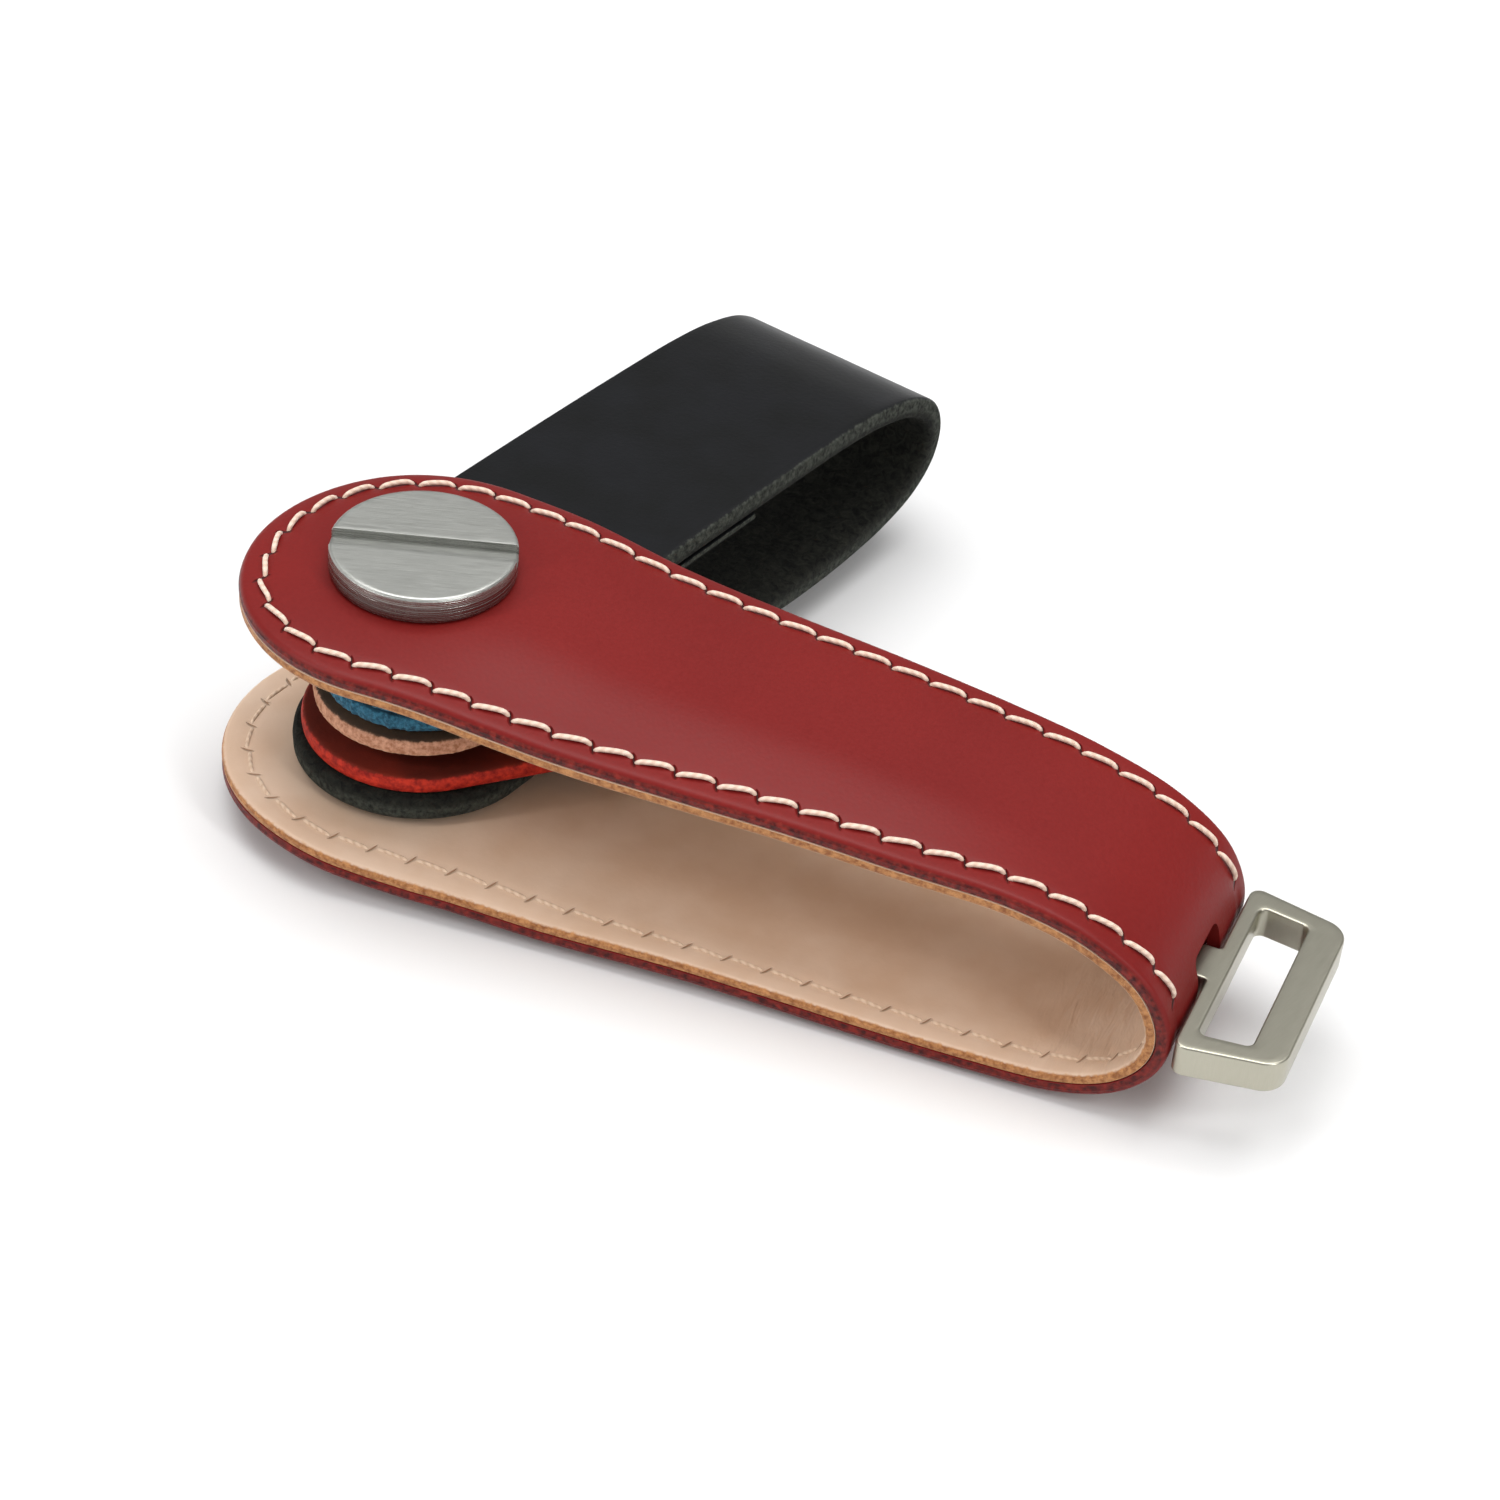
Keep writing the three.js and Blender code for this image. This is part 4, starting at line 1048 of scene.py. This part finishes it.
MATERIALS = {
    "red": aniline_red_leather(),
    "lining": vegetable_tanned_lining(),
    "thread": linen_thread("waxed_linen_thread", "D6B9A5", "E6CDBB"),
    "sunk_thread": linen_thread("sunk_linen_thread", "CFB196", "E0C6AD"),
    # Painted shade: the slot darkens towards its floor, the head's side darkens downwards, and the post below is
    # dark throughout.
    "screw": brushed_metal("brushed_stainless_steel", ("9FA09B", "C6C7C2"), SLOT_ANGLE, (2.2, 0.1), (0.4, 0.5),
                           bump=0.5, side_bump=0.9, side_rough=0.4, painted_shade_heights=(SCREW_TOP - 1.2, SCREW_TOP - 0.1)),
    "nickel": brushed_metal("satin_nickel_plate", ("ACA999", "B8B5A7"), math.radians(70), (1.2, 0.1),
                            (0.34, 0.4), bump=0.05, side_bump=0.03),
    "wire": brushed_metal("drawn_steel_wire", ("8E8F8B", "A2A39F"), 0.0, (5.0, 0.2), (0.3, 0.45)),
    "stamped": brushed_metal("stamped_steel_washer", ("8F9191", "A5A7A7"), 0.7, (5.0, 0.2), (0.3, 0.5)),
    "black": black_bridle_leather(),
    # The face tones are a dark maroon, far darker than the bright red edge: painted shade of the tab's upper face
    # under the cover.
    "scarlet": simple_leather("scarlet_split_leather", ("541A10", "742416", "7E0E08", "C2301C"),
                              (0.8, 0.6), 0.7, 0.6)[0],
    # The face tones are a dark brown, far darker than the pinkish-tan edge.
    "natural": simple_leather("natural_disc_leather", ("43352B", "5A4636", "A06A4E", "CF9C80"),
                              (0.75, 0.8), 0.5, 0.6)[0],
    "brown": simple_leather("brown_disc_leather", ("6E4C34", "83603F", "7A5236", "A67C56"),
                            (0.7, 0.8), 0.5, 0.5)[0],
    "suede": simple_leather("blue_suede", ("1F4659", "2C617C", "1C4256", "3F7D98"), (0.95, 0.95), 0.4, 1.0,
                            sheen=0.15)[0],
}


# ---------------------------------------------------------------- pieces

def finish_piece(piece, material, body, slot, *nodes):
    """Gives a piece its material, hides the imported nodes that it stands for, and hangs it on its body. slot is
    not used.
    """
    piece.data.materials.append(MATERIALS[material])
    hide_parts(*nodes)
    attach(piece, body)


finish_piece(cover_leather(), "red", "cover", "leather_red", "outer_cover")
finish_piece(cover_lining(), "lining", "cover", "leather_natural", "cover_lining")
finish_piece(outside_stitches("outside_stitches_upper", False), "thread", "cover", "thread_outside",
             "needle_thread_upper")
finish_piece(outside_stitches("outside_stitches_lower", True), "thread", "cover", "thread_outside",
             "needle_thread_lower")
finish_piece(inside_stitches(), "sunk_thread", "cover", "thread_inside", "bobbin_thread")
finish_piece(screw_head(), "screw", "screw", "steel", "binding_screw")
finish_piece(screw_post(), "screw", "post", "steel", "binding_post")
finish_piece(strap(), "black", "loop", "leather_black", "belt_loop")
finish_piece(strap_second_layer(), "black", "loop", "leather_black_split", "loop_reinforcement")
finish_piece(leather_tab(), "scarlet", "tab", "leather_scarlet", "leather_tab")
finish_piece(ring_link(), "nickel", "ring_body", "nickel", "ring")
finish_piece(pin(), "wire", "cover", "pin_steel", "anchor_pin")
for name, node, edge_radius, wobble, seed, bulge, material, slot in (
    ("steel_washer", "bottom_washer", 0.12, 0.0, 1, 0.0, "stamped", "washer_steel"),
    ("small_disc", "small_spacer", 0.3, 0.03, 2, 0.05, "brown", "leather_spacer"),
    ("natural_disc", "natural_spacer", 0.35, 0.03, 3, 0.05, "natural", "leather_natural_spacer"),
    ("suede_disc", "blue_suede_spacer", 0.4, 0.09, 4, 0.05, "suede", "suede_blue"),
    ("upper_suede_disc", "thick_spacer", 0.4, 0.09, 5, 0.05, "suede", "suede_blue"),
    ("top_disc", "top_spacer", 0.35, 0.03, 6, 0.05, "brown", "leather_spacer"),
):
    finish_piece(disc(name, node, edge_radius, wobble, seed, bulge), material, f"{node}_body", slot, node)


# ---------------------------------------------------------------- floor, light and camera

def paper_floor():
    """A flat white sheet, far larger than the view."""
    across = np.linspace(-9000, 9000, 5)
    x, y = np.meshgrid(across, across, indexing="ij")
    points = np.stack([x, y, np.full_like(x, -0.05)], -1).reshape(-1, 3)
    mesh = bpy.data.meshes.new("paper_floor")
    mesh.from_pydata((points * MM).tolist(), [], grid_faces(5, 5)[:, ::-1].tolist())
    mesh.materials.append(seamless_paper())
    linked("paper_floor", mesh)


def soft_box(name, place, target, size, watts):
    """A rectangular light of the given size in metres, aimed at the target."""
    light = bpy.data.lights.new(name, "AREA")
    light.shape, light.size, light.size_y, light.energy = "RECTANGLE", size[0], size[1], watts
    lamp = bpy.data.objects.new(name, light)
    lamp.location = place
    lamp.rotation_euler = (Vector(target) - Vector(place)).to_track_quat("-Z", "Y").to_euler()
    bpy.context.collection.objects.link(lamp)


def camera():
    """Aimed at the cover's middle from its azimuth and elevation, turned about its own axis by the roll."""
    target = np.array([28.33, 6.75, 11.34]) * MM
    distance, azimuth, elevation, roll = 0.34216, math.radians(19.02), math.radians(38.05), math.radians(5.91)
    back = np.array([math.sin(azimuth) * math.cos(elevation), -math.cos(azimuth) * math.cos(elevation),
                     math.sin(elevation)])
    level = np.cross([0, 0, 1], back)
    level /= np.linalg.norm(level)
    upward = np.cross(back, level)
    right = math.cos(roll) * level + math.sin(roll) * upward
    up = -math.sin(roll) * level + math.cos(roll) * upward
    data = bpy.data.cameras.new("camera")
    data.sensor_width, data.lens = 36.0, 95.7
    data.clip_start, data.clip_end = 0.01, 10.0
    made = bpy.data.objects.new("camera", data)
    axes = Matrix([list(right), list(up), list(back)]).transposed().to_4x4()
    made.matrix_world = Matrix.Translation(Vector(target + back * distance)) @ axes
    bpy.context.collection.objects.link(made)
    bpy.context.scene.camera = made


def studio_sky():
    """Soft light by height: bright at the horizon, dim half way up, brightest overhead."""
    world = bpy.data.worlds.new("studio")
    world.use_nodes = True
    tree = world.node_tree
    direction = add_node(tree, "ShaderNodeTexCoord").outputs["Generated"]
    height = add_node(tree, "ShaderNodeSeparateXYZ", {0: direction}).outputs["Z"]
    ramp = add_node(tree, "ShaderNodeValToRGB", {"Fac": height})
    ramp.color_ramp.interpolation = "EASE"
    for place, level in ((0.0, 0.75), (0.3, 0.3), (0.72, 0.28), (0.9, 0.75)):
        stop = ramp.color_ramp.elements.new(place)
        stop.color = (level, level, level, 1)
    ramp.color_ramp.elements.remove(ramp.color_ramp.elements[-1])
    ramp.color_ramp.elements.remove(ramp.color_ramp.elements[0])
    background = tree.nodes["Background"]
    background.inputs["Strength"].default_value = 1.0
    tree.links.new(ramp.outputs["Color"], background.inputs["Color"])
    bpy.context.scene.world = world


paper_floor()
soft_box("overhead_softbox", (0.0, 0.1, 1.0), (0.03, 0.0, 0.0), (1.0, 0.8), 9.5)
soft_box("left_softbox", (-0.62, -0.6, 0.62), (0.0, 0.0, 0.01), (0.12, 0.6), 3.4)
soft_box("right_softbox", (0.75, -0.35, 0.55), (0.0, 0.0, 0.01), (0.12, 0.6), 2.8)
camera()
studio_sky()
bpy.context.scene.view_settings.view_transform = "Standard"
